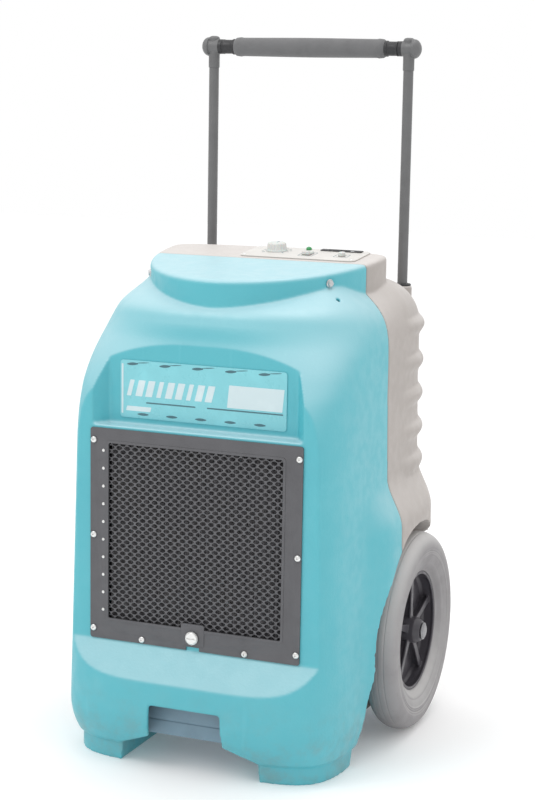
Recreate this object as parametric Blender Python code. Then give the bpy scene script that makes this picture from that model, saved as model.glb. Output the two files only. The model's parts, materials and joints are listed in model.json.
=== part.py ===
"""Portable refrigerant dehumidifier on two wheels.

A moulded housing in two halves (front and rear) stands on two front feet and a
pair of rear wheels.  A telescoping pull handle slides in guides behind the neck.
Inside: filter, evaporator, condenser, compressor, fan, condensate pump and the
refrigerant lines.  Units are metres, +Z up, the front faces -Y, and the origin
is on the floor at the middle of the footprint.
"""
import math

import bmesh
import bpy
import numpy as np
from mathutils import Matrix, Vector

# ---------------------------------------------------------------- driving sizes
GAP = 0.0003                      # clearance between touching pieces
WALL = 0.004                      # thickness of the moulded housing

# housing body: a rounded-rectangle (superellipse) plan that changes with height
WIDEST_Y = -0.020                 # plane of greatest width
SEAM_Y = 0.006                    # plane where the two halves meet
BODY_HALF = 0.2139                # half width at the start of the shoulder
BODY_DRAFT = 0.0246               # half width gained per metre going down
FRONT_DRAFT = 0.010               # the front leans out this much per metre going down
REAR_Y = 0.243
SHOULDER_Z = 0.5447               # the sides start to round in here
SHOULDER_TOP_Z = 0.7185           # crown of the shoulder, inside the neck
SHOULDER_HALF = 0.160             # half width at the crown
SHOULDER_POWERS = (6.28, 0.488)
BROW = ((0.480, -0.2560), (0.540, -0.2475), (0.590, -0.2225), (0.635, -0.2010), (0.665, -0.1925),
        (0.684, -0.1800), (0.700, -0.1480), (0.7185, -0.1090))   # (height, front) of the brow
FRONT_SQUARENESS = 5.4
SHOULDER_SQUARENESS = 2.65
SQUARENESS_Z = (0.560, 0.665)     # the front corners round off between these heights
REAR_SQUARENESS = 5.5
REAR_ROUND_Z = 0.635              # the rear starts to round over here
REAR_CROWN_Y = 0.080
REAR_WIDEN_Y = (0.0, 0.100)       # behind the seam the shoulder stays wide for longer
BODY_BOTTOM_Z = 0.030             # underside of the body, above the feet
SKIRT_Z = 0.085                   # the lower edge tucks in below this height
SKIRT_TUCK = 0.018                # at the front; the sides draw in half as much
FOOT_STEP = 0.006
OUTLINE_POINTS = 44

# neck: the raised collar on top
NECK_HALF = 0.181
NECK_FRONT_Y = -0.177
NECK_REAR_Y = 0.108
NECK_WIDEST_Y = 0.070
NECK_SQUARENESS = (2.0, 3.2)
NECK_ROOT_Z = 0.660               # the neck starts inside the shoulder
NECK_TOP_FRONT_Z = 0.7268
NECK_TOP_SLOPE = 0.090
NECK_EDGE = 0.006
BOLT_ANGLE = 36.0                 # of the two neck bolts, from the side towards the front
BOLT_Z = 0.7205

# flare over the wheels
FLARE = 0.024
FLARE_Z = (0.06, 0.16, 0.345, 0.42)
FLARE_Y = (-0.115, -0.030)

# ribs moulded round the rear corners
RIB_HEIGHTS = (0.420, 0.472, 0.526, 0.579, 0.637)
RIB_DEPTH = 0.009
RIB_HALF_HEIGHT = 0.015
RIB_FADE_Y = (0.06, 0.15)

# wheels
WHEEL_RADIUS = 0.157
WHEEL_Y = 0.099
WHEEL_X = 0.2285
TYRE_HALF_WIDTH = 0.0265
RIM_RADIUS = 0.0945
RIM_HALF_WIDTH = 0.0125
RIM_WALL = 0.0035                 # of the barrel and of the web that closes its inner side
TYRE_LIP_RADIUS = 0.108           # the sidewall slopes in from here to the rim
SPOKE_SECTION = (0.008, 0.013)    # along the axle and across
WELL_RADIUS = 0.175
WELL_X = 0.1915
AXLE_RADIUS = 0.008
AXLE_END_X = 0.2525
BORE_RADIUS = 0.0085

# front opening, grille and name plate
PANEL_Y = -0.226
PANEL_BOTTOM_Z = 0.1825
SKIRT_LIP = (-0.2585, 0.136)      # where the slanted skirt leaves the body
GRILLE_HALF = 0.169
GRILLE_Z = (0.183, 0.5046)
GRILLE_THICK = 0.0022
INTAKE_HALF = 0.150
INTAKE_Z = (0.204, 0.492)
MESH_HALF = 0.146
MESH_Z = (0.209, 0.489)
WINDOW_HALF = 0.139
WINDOW_Z = (0.216, 0.483)
PLATE_FLOOR_Y = -0.202
PLATE_LEDGE_Z = 0.509
PLATE_FLOOR_HALF = 0.150
PLATE_MOUTH_HALF = 0.168
NAMEPLATE_HALF = 0.1325
NAMEPLATE_Z = (0.519, 0.605)
SCREW_RADIUS = 0.0048
SCREW_XZ = [(sx * 0.1635, z) for sx in (-1, 1) for z in (0.486, 0.342, 0.198)]
SCREW_XZ += [(sx * 0.083, 0.189) for sx in (-1, 1)]
LATCH_Z = 0.203

# notch and undercut between the feet
NOTCH = ((0.1125, -0.01), (0.1125, 0.0), (0.1095, 0.030), (0.060, 0.050), (0.057, 0.100))
FOOT_REAR_Y = -0.105
UNDERCUT_Z = 0.045

# pull handle
LEG_X = 0.167
LEG_Y = 0.200
LEG_RADIUS = 0.008
BAR_RADIUS = 0.008
TUBE_WALL = 0.0018
LEG_BOTTOM_Z = 0.600
GRIP_Z = 1.0646
GRIP_RADIUS = 0.0155
GRIP_HALF = 0.1285
COLLAR_RADIUS = 0.0125
SLEEVE_RADIUS = 0.0100            # of the fitting that closes each leg
CAP_RADIUS = 0.0150               # of the domed cap outside it
CORNER_INNER = 0.0165             # reach of the fitting from the leg's axis
CORNER_OUTER = 0.0205
CORNER_TOP = 0.0172               # above the grip's axis
LEG_STOP = 0.0160                 # the tube ends this far below the grip's axis
GUIDE_Z = (0.375, 0.632)
BUSH_RADIUS = 0.0115
BUSH_SEAT_Z = 0.6925

# chassis and the machinery on it
PAN_HALF = 0.183
PAN_Y = (-0.220, 0.218)
PAN_Z = (0.0446, 0.098)
DECK_Z = 0.0480
COIL_HALF = 0.158
COIL_Z = (0.125, 0.500)
FAN_Z = 0.400
COMPRESSOR_XY = (-0.075, -0.010)

# control panel on the neck
PANEL_X = (-0.040, 0.150)
PANEL_Y_SPAN = (0.016, 0.098)
PANEL_THICK = 0.002
METER_XY = (0.104, 0.088)
METER_HALF = (0.034, 0.006)
LAMP_XY = (0.050, 0.086)
SWITCH_XY = (0.062, 0.050)
SWITCH_PIVOT = 0.0012             # above the panel
SWITCH_TILT = 7.0                 # degrees either side of level
KNOB_XY = (0.004, 0.066)
BUTTON_XY = (0.118, 0.050)

TEAL = (0.10, 0.50, 0.58)
SAND = (0.46, 0.40, 0.37)
GRAPHITE = (0.13, 0.12, 0.13)
STEEL = (0.55, 0.56, 0.58)
COPPER = (0.72, 0.36, 0.20)
BLACK = (0.03, 0.03, 0.032)
PALE = (0.72, 0.70, 0.67)
DARK_FOAM = (0.05, 0.05, 0.055)


# ---------------------------------------------------------------- scene helpers
def clear_scene():
    for obj in list(bpy.data.objects):
        bpy.data.objects.remove(obj, do_unlink=True)


def material(name, colour, roughness=0.5, metallic=0.0):
    found = bpy.data.materials.get(name)
    if found:
        return found
    mat = bpy.data.materials.new(name)
    mat.use_nodes = True
    shader = mat.node_tree.nodes["Principled BSDF"]
    shader.inputs["Base Color"].default_value = (*colour, 1.0)
    shader.inputs["Roughness"].default_value = roughness
    shader.inputs["Metallic"].default_value = metallic
    return mat


def add_object(name, bm, look, smooth=True):
    """Turn a bmesh into a named object with its own material."""
    bmesh.ops.recalc_face_normals(bm, faces=bm.faces)
    mesh = bpy.data.meshes.new(name)
    bm.to_mesh(mesh)
    bm.free()
    obj = bpy.data.objects.new(name, mesh)
    bpy.context.collection.objects.link(obj)
    if look:
        colour, roughness, metallic = look
        mesh.materials.append(material(name + "_finish", colour, roughness, metallic))
    if smooth:
        mesh.shade_smooth()
        mesh.set_sharp_from_angle(angle=math.radians(35))
    return obj


def as_cutter(obj):
    obj.hide_render = True
    obj.display_type = "WIRE"
    return obj


def boolean(obj, other, operation="DIFFERENCE"):
    mod = obj.modifiers.new(operation.lower() + "_" + other.name, "BOOLEAN")
    mod.operation = operation
    mod.solver = "EXACT"
    mod.object = other
    return mod


def set_origin(obj, point):
    """Move an object's origin without moving its surface."""
    offset = Vector(point)
    obj.data.transform(Matrix.Translation(-offset))
    obj.location = offset


# ---------------------------------------------------------------- shape helpers
def loft_bmesh(rings):
    """Closed solid through a list of equal-length rings of points."""
    bm = bmesh.new()
    loops = [[bm.verts.new(point) for point in ring] for ring in rings]
    count = len(rings[0])
    for lower, upper in zip(loops, loops[1:]):
        for i in range(count):
            j = (i + 1) % count
            bm.faces.new((lower[i], lower[j], upper[j], upper[i]))
    bm.faces.new(list(reversed(loops[0])))
    bm.faces.new(loops[-1])
    return bm


def axis_frame(axis):
    """Two unit vectors across an axis, so that (across, up, axis) is right-handed."""
    axis = Vector(axis).normalized()
    helper = Vector((0, 0, 1)) if abs(axis.z) < 0.9 else Vector((0, 1, 0))
    across = helper.cross(axis).normalized()
    return across, axis.cross(across), axis


def turned_bmesh(profile, centre, axis, segments):
    """Spin a closed profile of (radius, height) points about an axis."""
    across, up, along = axis_frame(axis)
    centre = Vector(centre)
    bm = bmesh.new()
    columns = []
    for radius, height in profile:
        spot = centre + along * height
        if radius < 1e-7:
            columns.append([bm.verts.new(spot)] * segments)
            continue
        ring = []
        for k in range(segments):
            turn = 2 * math.pi * k / segments
            ring.append(bm.verts.new(spot + radius * (across * math.cos(turn) + up * math.sin(turn))))
        columns.append(ring)
    for a, b in zip(columns, columns[1:] + columns[:1]):
        if a[0] is a[1] and b[0] is b[1]:
            continue
        for i in range(segments):
            j = (i + 1) % segments
            corners = []
            for vert in (a[i], a[j], b[j], b[i]):
                if vert not in corners:
                    corners.append(vert)
            bm.faces.new(corners)
    return bm


def turned(name, profile, centre, axis, look, segments=24):
    return add_object(name, turned_bmesh(profile, centre, axis, segments), look)


def rod(name, start, end, radius, look, segments=16):
    length = (Vector(end) - Vector(start)).length
    profile = [(0, 0), (radius, 0), (radius, length), (0, length)]
    return turned(name, profile, start, Vector(end) - Vector(start), look, segments)


def ring_profile(inner, outer, low, high):
    return [(inner, low), (outer, low), (outer, high), (inner, high)]


def prism_bmesh(outline, axis, low, high):
    """Extrude an outline of 2-D points along X, Y or Z."""
    place = {"X": lambda u, v, w: (w, u, v), "Y": lambda u, v, w: (u, w, v), "Z": lambda u, v, w: (u, v, w)}
    put = place[axis]
    return loft_bmesh([[put(u, v, w) for u, v in outline] for w in (low, high)])


def prism(name, outline, axis, low, high, look=None):
    return add_object(name, prism_bmesh(outline, axis, low, high), look, smooth=False)


def rectangle(u, v):
    return [(u[0], v[0]), (u[1], v[0]), (u[1], v[1]), (u[0], v[1])]


def rounded_rectangle(u, v, radius, steps=3):
    points = []
    centres = ((u[1] - radius, v[1] - radius, 0), (u[0] + radius, v[1] - radius, 90),
               (u[0] + radius, v[0] + radius, 180), (u[1] - radius, v[0] + radius, 270))
    for cu, cv, start in centres:
        for k in range(steps + 1):
            turn = math.radians(start + 90 * k / steps)
            points.append((cu + radius * math.cos(turn), cv + radius * math.sin(turn)))
    return points


def box(name, low, high, look=None):
    return prism(name, rectangle((low[0], high[0]), (low[1], high[1])), "Z", low[2], high[2], look)


def bevel(obj, width, segments=1):
    mod = obj.modifiers.new("edges", "BEVEL")
    mod.width = width
    mod.segments = segments
    mod.limit_method = "ANGLE"
    return mod


def pipe(name, points, radius, look):
    """Bent metal tube along a smoothed route."""
    curve = bpy.data.curves.new(name, "CURVE")
    curve.dimensions = "3D"
    curve.bevel_depth = radius
    curve.bevel_resolution = 1
    curve.use_fill_caps = True
    spline = curve.splines.new("POLY")
    spline.points.add(len(points) - 1)
    for spot, point in zip(spline.points, points):
        spot.co = (*point, 1.0)
    obj = bpy.data.objects.new(name, curve)
    bpy.context.collection.objects.link(obj)
    curve.materials.append(material(name + "_finish", *look))
    return obj


# ---------------------------------------------------------------- housing shape
def smoothstep(low, high, value):
    t = min(max((value - low) / (high - low), 0.0), 1.0)
    return t * t * (3 - 2 * t)


def through(knots, value):
    """Smooth curve through (position, size) knots, level outside them."""
    spots, sizes = zip(*knots)
    if value <= spots[0]:
        return sizes[0]
    if value >= spots[-1]:
        return sizes[-1]
    slopes = [(b - a) / (q - p) for a, b, p, q in zip(sizes, sizes[1:], spots, spots[1:])]
    k = next(i for i, spot in enumerate(spots[1:]) if value <= spot)
    enter = 0.5 * (slopes[k - 1] + slopes[k]) if k else 0.0
    leave = 0.5 * (slopes[k] + slopes[k + 1]) if k + 1 < len(slopes) else slopes[k]
    width = spots[k + 1] - spots[k]
    t = (value - spots[k]) / width
    return (sizes[k] * (1 + 2 * t) * (1 - t) ** 2 + sizes[k + 1] * (3 - 2 * t) * t * t
            + width * (enter * t * (1 - t) ** 2 - leave * t * t * (1 - t)))


def rounding(value, start, end, powers):
    """1 at start falling to 0 at end along a rounded shoulder."""
    if value <= start:
        return 1.0
    t = min((value - start) / (end - start), 1.0)
    return max(1 - t ** powers[0], 0.0) ** (1 / powers[1])


def resample(points, count):
    """Points spaced evenly along a closed outline."""
    closed = np.vstack([points, points[:1]])
    steps = np.hypot(*np.diff(closed, axis=0).T)
    along = np.concatenate([[0], np.cumsum(steps)])
    spots = np.linspace(0, along[-1], count, endpoint=False)
    return np.column_stack([np.interp(spots, along, closed[:, k]) for k in (0, 1)])


def superellipse(half, front, rear, widest, squareness, count):
    """Outline with its own squareness at the front and at the rear."""
    turn = np.linspace(0, 2 * np.pi, 720, endpoint=False) - np.pi / 2
    c = np.cos(turn)
    s = np.sin(turn)
    power = np.where(s < 0, 2 / squareness[0], 2 / squareness[1])
    depth = np.where(s < 0, widest - front, rear - widest)
    x = half * np.sign(c) * np.abs(c) ** power
    y = widest + depth * np.sign(s) * np.abs(s) ** power
    return resample(np.column_stack([x, y]), count)


def tuck(z):
    """How far the lower edge of the body is drawn in."""
    if z >= SKIRT_Z:
        return 0.0
    amount = SKIRT_TUCK * ((SKIRT_Z - z) / (SKIRT_Z - BODY_BOTTOM_Z)) ** 2
    return min(amount, SKIRT_TUCK)


def flare(y, z):
    rise = smoothstep(FLARE_Z[0], FLARE_Z[1], z) * (1 - smoothstep(FLARE_Z[2], FLARE_Z[3], z))
    return FLARE * rise * smoothstep(FLARE_Y[0], FLARE_Y[1], y)


def rib(y, z):
    depth = 0.0
    for height in RIB_HEIGHTS:
        offset = abs(z - height) / RIB_HALF_HEIGHT
        if offset < 1:
            depth = RIB_DEPTH * math.cos(offset * math.pi / 2)
    return depth * smoothstep(RIB_FADE_Y[0], RIB_FADE_Y[1], y)


def body_ring(z, inset=0.0, ribs=False):
    """Outline of the body at one height, drawn in by inset."""
    side = rounding(z, SHOULDER_Z, SHOULDER_TOP_Z, SHOULDER_POWERS)
    half = SHOULDER_HALF + (BODY_HALF - SHOULDER_HALF) * side + BODY_DRAFT * max(SHOULDER_Z - z, 0.0)
    front = through(BROW, z) - FRONT_DRAFT * max(BROW[0][0] - z, 0.0)
    corner = smoothstep(*SQUARENESS_Z, z)
    squareness = FRONT_SQUARENESS + (SHOULDER_SQUARENESS - FRONT_SQUARENESS) * corner
    over = rounding(z, REAR_ROUND_Z, SHOULDER_TOP_Z, (2, 2))
    rear = REAR_CROWN_Y + (REAR_Y - REAR_CROWN_Y) * over
    wide = SHOULDER_HALF + (BODY_HALF - SHOULDER_HALF) * over
    widen = max(wide / half - 1, 0.0)
    draw = inset + tuck(z)
    ring = superellipse(half - inset - tuck(z) / 2, front + draw, rear - draw, WIDEST_Y,
                        (squareness, REAR_SQUARENESS), OUTLINE_POINTS)
    points = []
    for x, y in ring:
        bulge = flare(y, z) * smoothstep(0.15, 0.20, abs(x))
        radial = rib(y, z) / math.hypot(x, y) if ribs else 0.0
        spread = 1 + widen * smoothstep(*REAR_WIDEN_Y, y) + radial
        points.append((x * spread + math.copysign(bulge, x), y * (1 + radial), z))
    return points


def neck_top(y):
    return NECK_TOP_FRONT_Z + NECK_TOP_SLOPE * (y - NECK_FRONT_Y)


def neck_ring(z, inset, below_top=None):
    """Outline of the neck, level at z or a set distance below its sloping top."""
    ring = superellipse(NECK_HALF - inset, NECK_FRONT_Y + inset, NECK_REAR_Y - inset,
                        NECK_WIDEST_Y, NECK_SQUARENESS, OUTLINE_POINTS)
    if below_top is None:
        return [(x, y, z) for x, y in ring]
    return [(x, y, neck_top(y) - below_top) for x, y in ring]


def shoulder_heights(count):
    """Heights that crowd together where the shoulder turns in."""
    start = BROW[0][0]
    reach = SHOULDER_TOP_Z - start
    return [start + reach * math.sin(math.pi / 2 * k / count) for k in range(1, count + 1)]


def outer_rings(ribs):
    rings = [body_ring(0.0, FOOT_STEP)]
    rings.append([(x, y, BODY_BOTTOM_Z - 0.004) for x, y, _ in body_ring(0.0, FOOT_STEP)])
    heights = [BODY_BOTTOM_Z, 0.040, 0.055, SKIRT_Z, 0.12, 0.16, 0.25, 0.345, 0.365, 0.385, 0.405]
    if ribs:
        for height in RIB_HEIGHTS:
            heights += [height + RIB_HALF_HEIGHT * part for part in (-1, 0, 1)]
        heights += [z for z in shoulder_heights(10) if z > RIB_HEIGHTS[-1] + RIB_HALF_HEIGHT]
    else:
        heights += [0.43, BROW[0][0]] + shoulder_heights(10)
    rings += [body_ring(z, 0.0, ribs) for z in heights]
    return rings


def neck_rings(inset):
    """The neck from inside the shoulder up to its sloping top, drawn in by inset."""
    return [neck_ring(NECK_ROOT_Z - inset, inset), neck_ring(0, inset, NECK_EDGE + inset),
            neck_ring(0, inset + 0.3 * NECK_EDGE, inset + 0.3 * NECK_EDGE),
            neck_ring(0, inset + NECK_EDGE, inset)]


def inner_rings():
    rings = []
    for z in (0.044, SKIRT_Z, 0.16, 0.30, 0.345, 0.40, BROW[0][0]):
        rings.append([(x, y, z) for x, y, _ in body_ring(z, WALL)])
    for z in shoulder_heights(8):
        rings.append([(x, y, z - WALL) for x, y, _ in body_ring(z, WALL)])
    return rings


def well_outline(grow):
    """Side view of a wheel well as (y, z) points: an arch open below and behind."""
    points = []
    for k in range(17):
        turn = math.radians(190 - 180 * k / 16)
        radius = WELL_RADIUS + grow
        points.append((WHEEL_Y + radius * math.cos(turn), WHEEL_RADIUS + radius * math.sin(turn)))
    points.append((0.32, WHEEL_RADIUS))
    points.append((0.32, -0.05))
    points.append((-0.135 - grow, -0.05))
    return points


def wheel_well(name, side, grow):
    low, high = sorted((side * (WELL_X - grow), side * 0.32))
    return as_cutter(prism(name, well_outline(grow), "X", low, high))


def front_flat(name, grow):
    """Everything ahead of the flat front panel, down to the slanted skirt."""
    lip_y, lip_z = SKIRT_LIP
    slope = (PANEL_BOTTOM_Z - lip_z) / (PANEL_Y - lip_y)
    outline = [(PANEL_Y + grow, PANEL_BOTTOM_Z - grow),
               (-0.32, PANEL_BOTTOM_Z - grow + slope * (-0.32 - PANEL_Y - grow)),
               (-0.32, 0.80), (PANEL_Y + grow, 0.80)]
    return as_cutter(prism(name, outline, "X", -0.30, 0.30))


def plate_recess(name, grow):
    """Recess for the name plate, its side walls splayed towards the front."""
    slope = (PLATE_MOUTH_HALF - PLATE_FLOOR_HALF) / (PLATE_FLOOR_Y - PANEL_Y)
    mouth = PLATE_FLOOR_HALF + slope * (PLATE_FLOOR_Y + 0.30) + grow
    floor = PLATE_FLOOR_HALF + grow
    outline = [(-mouth, -0.30), (mouth, -0.30), (floor, PLATE_FLOOR_Y + grow), (-floor, PLATE_FLOOR_Y + grow)]
    return as_cutter(prism(name, outline, "Z", PLATE_LEDGE_Z - grow, 0.80))


def housing_cutters():
    """Cutters that both halves of the housing share."""
    cavity = add_object("cavity", loft_bmesh(inner_rings()), None, smooth=False)
    neck_hollow = add_object("neck_cavity", loft_bmesh(neck_rings(WALL)), None, smooth=False)
    boolean(cavity, as_cutter(neck_hollow), "UNION")
    for side, word in ((-1, "left"), (1, "right")):
        boolean(cavity, wheel_well("well_skin_" + word, side, WALL))
    boolean(cavity, front_flat("front_flat_skin", WALL))
    boolean(cavity, plate_recess("plate_recess_skin", WALL))
    wells = [wheel_well("well_" + word, side, 0.0) for side, word in ((-1, "left"), (1, "right"))]
    axle_hole = as_cutter(rod("axle_hole", (-0.30, WHEEL_Y, WHEEL_RADIUS), (0.30, WHEEL_Y, WHEEL_RADIUS),
                              BORE_RADIUS, None))
    undercut = as_cutter(box("undercut", (-0.32, FOOT_REAR_Y, -0.05), (0.32, 0.32, UNDERCUT_Z)))
    return [as_cutter(cavity), *wells, axle_hole, undercut]


def make_front_housing(shared):
    look = (TEAL, 0.45, 0.0)
    shell = add_object("front_housing", loft_bmesh(outer_rings(ribs=False)), look)
    boolean(shell, as_cutter(add_object("front_neck", loft_bmesh(neck_rings(0.0)), None)), "UNION")
    boolean(shell, as_cutter(box("behind_seam", (-0.4, SEAM_Y - GAP / 2, -0.1), (0.4, 0.4, 0.9))))
    boolean(shell, front_flat("front_flat", 0.0))
    boolean(shell, plate_recess("plate_recess", 0.0))
    for cutter in shared:
        boolean(shell, cutter)
    notch = [(-u, v) for u, v in NOTCH] + [(u, v) for u, v in reversed(NOTCH)]
    boolean(shell, as_cutter(prism("foot_notch", notch, "Y", -0.35, FOOT_REAR_Y + 0.01)))
    intake = rectangle((-INTAKE_HALF, INTAKE_HALF), INTAKE_Z)
    boolean(shell, as_cutter(prism("intake", intake, "Y", -0.30, -0.200)))
    bolt_holes = []
    for side in (-1, 1):
        bolt_holes.append(bolt_place(side))
    for k, (seat, outward) in enumerate(bolt_holes):
        hole = rod("bolt_hole_%d" % k, seat - outward * 0.020, seat + outward * 0.006, 0.0038, None, 12)
        boolean(shell, as_cutter(hole))
    return shell


def bolt_place(side):
    """Seat and outward direction of a neck bolt on the collar's side."""
    turn = math.radians(BOLT_ANGLE)
    n = NECK_SQUARENESS[0]
    c = math.cos(turn)
    s = -math.sin(turn)
    depth = NECK_WIDEST_Y - NECK_FRONT_Y
    x = NECK_HALF * c ** (2 / n)
    y = NECK_WIDEST_Y - depth * abs(s) ** (2 / n)
    outward = Vector((x ** (n - 1) / NECK_HALF ** n, -abs(y - NECK_WIDEST_Y) ** (n - 1) / depth ** n, 0))
    outward.x *= side
    return Vector((side * x, y, BOLT_Z)), outward.normalized()


def make_rear_housing(shared):
    look = (SAND, 0.5, 0.0)
    shell = add_object("rear_housing", loft_bmesh(outer_rings(ribs=True)), look)
    boolean(shell, as_cutter(add_object("rear_neck", loft_bmesh(neck_rings(0.0)), None)), "UNION")
    for side, word in ((-1, "left"), (1, "right")):
        seat = rod("bush_seat_" + word, (side * LEG_X, LEG_Y, 0.664), (side * LEG_X, LEG_Y, BUSH_SEAT_Z),
                   BUSH_RADIUS + 0.004, None)
        boolean(shell, as_cutter(seat), "UNION")
    boolean(shell, as_cutter(box("ahead_of_seam", (-0.4, -0.4, -0.1), (0.4, SEAM_Y + GAP / 2, 0.9))))
    for cutter in shared:
        boolean(shell, cutter)
    for side, word in ((-1, "left"), (1, "right")):
        hole = rod("bush_hole_" + word, (side * LEG_X, LEG_Y, 0.60), (side * LEG_X, LEG_Y, 0.75),
                   BUSH_RADIUS + GAP, None)
        boolean(shell, as_cutter(hole))
    exhaust = rounded_rectangle((-0.122, 0.122), (0.278, 0.522), 0.012)
    boolean(shell, as_cutter(prism("exhaust_opening", exhaust, "Y", 0.20, 0.30)))
    for name, x in (("drain_hole", 0.110), ("inlet_hole", -0.110)):
        boolean(shell, as_cutter(rod(name, (x, 0.20, 0.200), (x, 0.30, 0.200), 0.0125, None, 16)))
    return shell


# ---------------------------------------------------------------- front fittings
def make_grille():
    look = (GRAPHITE, 0.55, 0.2)
    front = PANEL_Y - GAP
    back = front - GRILLE_THICK
    frame = prism("grille_frame", rounded_rectangle((-GRILLE_HALF, GRILLE_HALF), GRILLE_Z, 0.003, 1),
                  "Y", back, front, look)
    window = rectangle((-WINDOW_HALF, WINDOW_HALF), WINDOW_Z)
    boolean(frame, as_cutter(prism("grille_window", window, "Y", -0.30, -0.20)))
    for k, (x, z) in enumerate(SCREW_XZ):
        hole = rod("screw_hole_%d" % (k + 1), (x, -0.25, z), (x, -0.19, z), 0.0024, None, 8)
        as_cutter(hole)
        boolean(frame, hole)
        boolean(bpy.data.objects["front_housing"], hole)
        head = [(0, -0.011), (0.0020, -0.011), (0.0020, 0.0), (SCREW_RADIUS, 0.0), (SCREW_RADIUS, 0.0012),
                (0.6 * SCREW_RADIUS, 0.0022), (0, 0.0022)]
        turned("grille_screw_%d" % (k + 1), head, (x, back - GAP, z), (0, -1, 0), (STEEL, 0.3, 1.0), 12)
    latch_hole = as_cutter(rod("latch_hole", (0, -0.25, LATCH_Z), (0, -0.19, LATCH_Z), 0.0045, None, 12))
    boolean(frame, latch_hole)
    boolean(bpy.data.objects["front_housing"], latch_hole)
    return back


def make_grille_mesh():
    """Sheet with slots behind the frame's window."""
    y_front = PANEL_Y + WALL * 0.25
    sheet = prism("grille_mesh", rectangle((-MESH_HALF, MESH_HALF), MESH_Z), "Y", y_front, y_front + 0.0015,
                  (GRAPHITE, 0.5, 0.3))
    columns = 4
    rows = 5
    pitch_x = 2 * MESH_HALF / columns
    pitch_z = (MESH_Z[1] - MESH_Z[0]) / rows
    slots = bmesh.new()
    for i in range(columns):
        for j in range(rows):
            cx = -MESH_HALF + (i + 0.5) * pitch_x
            cz = MESH_Z[0] + (j + 0.5) * pitch_z
            size = Matrix.Diagonal((0.66 * pitch_x, 0.02, 0.62 * pitch_z, 1.0))
            bmesh.ops.create_cube(slots, size=1.0, matrix=Matrix.Translation((cx, y_front, cz)) @ size)
    boolean(sheet, as_cutter(add_object("mesh_slots", slots, None, smooth=False)))


def make_latch(frame_front):
    head = 0.0102
    profile = [(0, -0.006), (0.0042, -0.006), (0.0042, 0.0), (head, 0.0), (head, 0.0045),
               (0.8 * head, 0.0060), (0, 0.0060)]
    knob = turned("grille_latch_knob", profile, (0, frame_front - GAP, LATCH_Z), (0, -1, 0),
                  (STEEL, 0.3, 1.0), 16)
    slot = box("latch_slot", (-0.0075, frame_front - 0.0080, LATCH_Z - 0.0012),
               (0.0075, frame_front - 0.0048, LATCH_Z + 0.0012))
    boolean(knob, as_cutter(slot))


def make_nameplate():
    y = PLATE_FLOOR_Y - GAP
    outline = rounded_rectangle((-NAMEPLATE_HALF, NAMEPLATE_HALF), NAMEPLATE_Z, 0.004, 2)
    prism("nameplate", outline, "Y", y - 0.0012, y, ((0.35, 0.65, 0.70), 0.3, 0.0))


def make_housing_bolts():
    for side, word in ((-1, "left"), (1, "right")):
        seat, outward = bolt_place(side)
        profile = [(0, -0.012), (0.0034, -0.012), (0.0034, 0.0), (0.0056, 0.0), (0.0056, 0.0012),
                   (0.0044, 0.0030), (0, 0.0036)]
        turned("housing_bolt_" + word, profile, seat + outward * 0.0006, outward, (STEEL, 0.35, 1.0), 12)


def make_filter():
    frame = box("air_filter", (-0.152, -0.2195, 0.200), (0.152, -0.2035, 0.4985), (DARK_FOAM, 0.9, 0.0))
    pleats = bmesh.new()
    count = 6
    pitch = 0.28 / count
    for k in range(count):
        x = -0.14 + (k + 0.5) * pitch
        size = Matrix.Diagonal((0.5 * pitch, 0.008, 0.27, 1.0))
        bmesh.ops.create_cube(pleats, size=1.0, matrix=Matrix.Translation((x, -0.2195, 0.349)) @ size)
    boolean(frame, as_cutter(add_object("filter_pleats", pleats, None, smooth=False)))


# ---------------------------------------------------------------- neck and panel
NORMAL = Vector((0, -NECK_TOP_SLOPE, 1)).normalized()


def on_neck(x, y, lift):
    """Point above the neck's sloping top."""
    return Vector((x, y, neck_top(y))) + NORMAL * lift


def neck_block(name, outline, low, high, look=None):
    """Block standing on the neck's sloping top, between two lifts."""
    rings = [[on_neck(x, y, lift) for x, y in outline] for lift in (low, high)]
    return add_object(name, loft_bmesh(rings), look, smooth=False)


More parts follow.
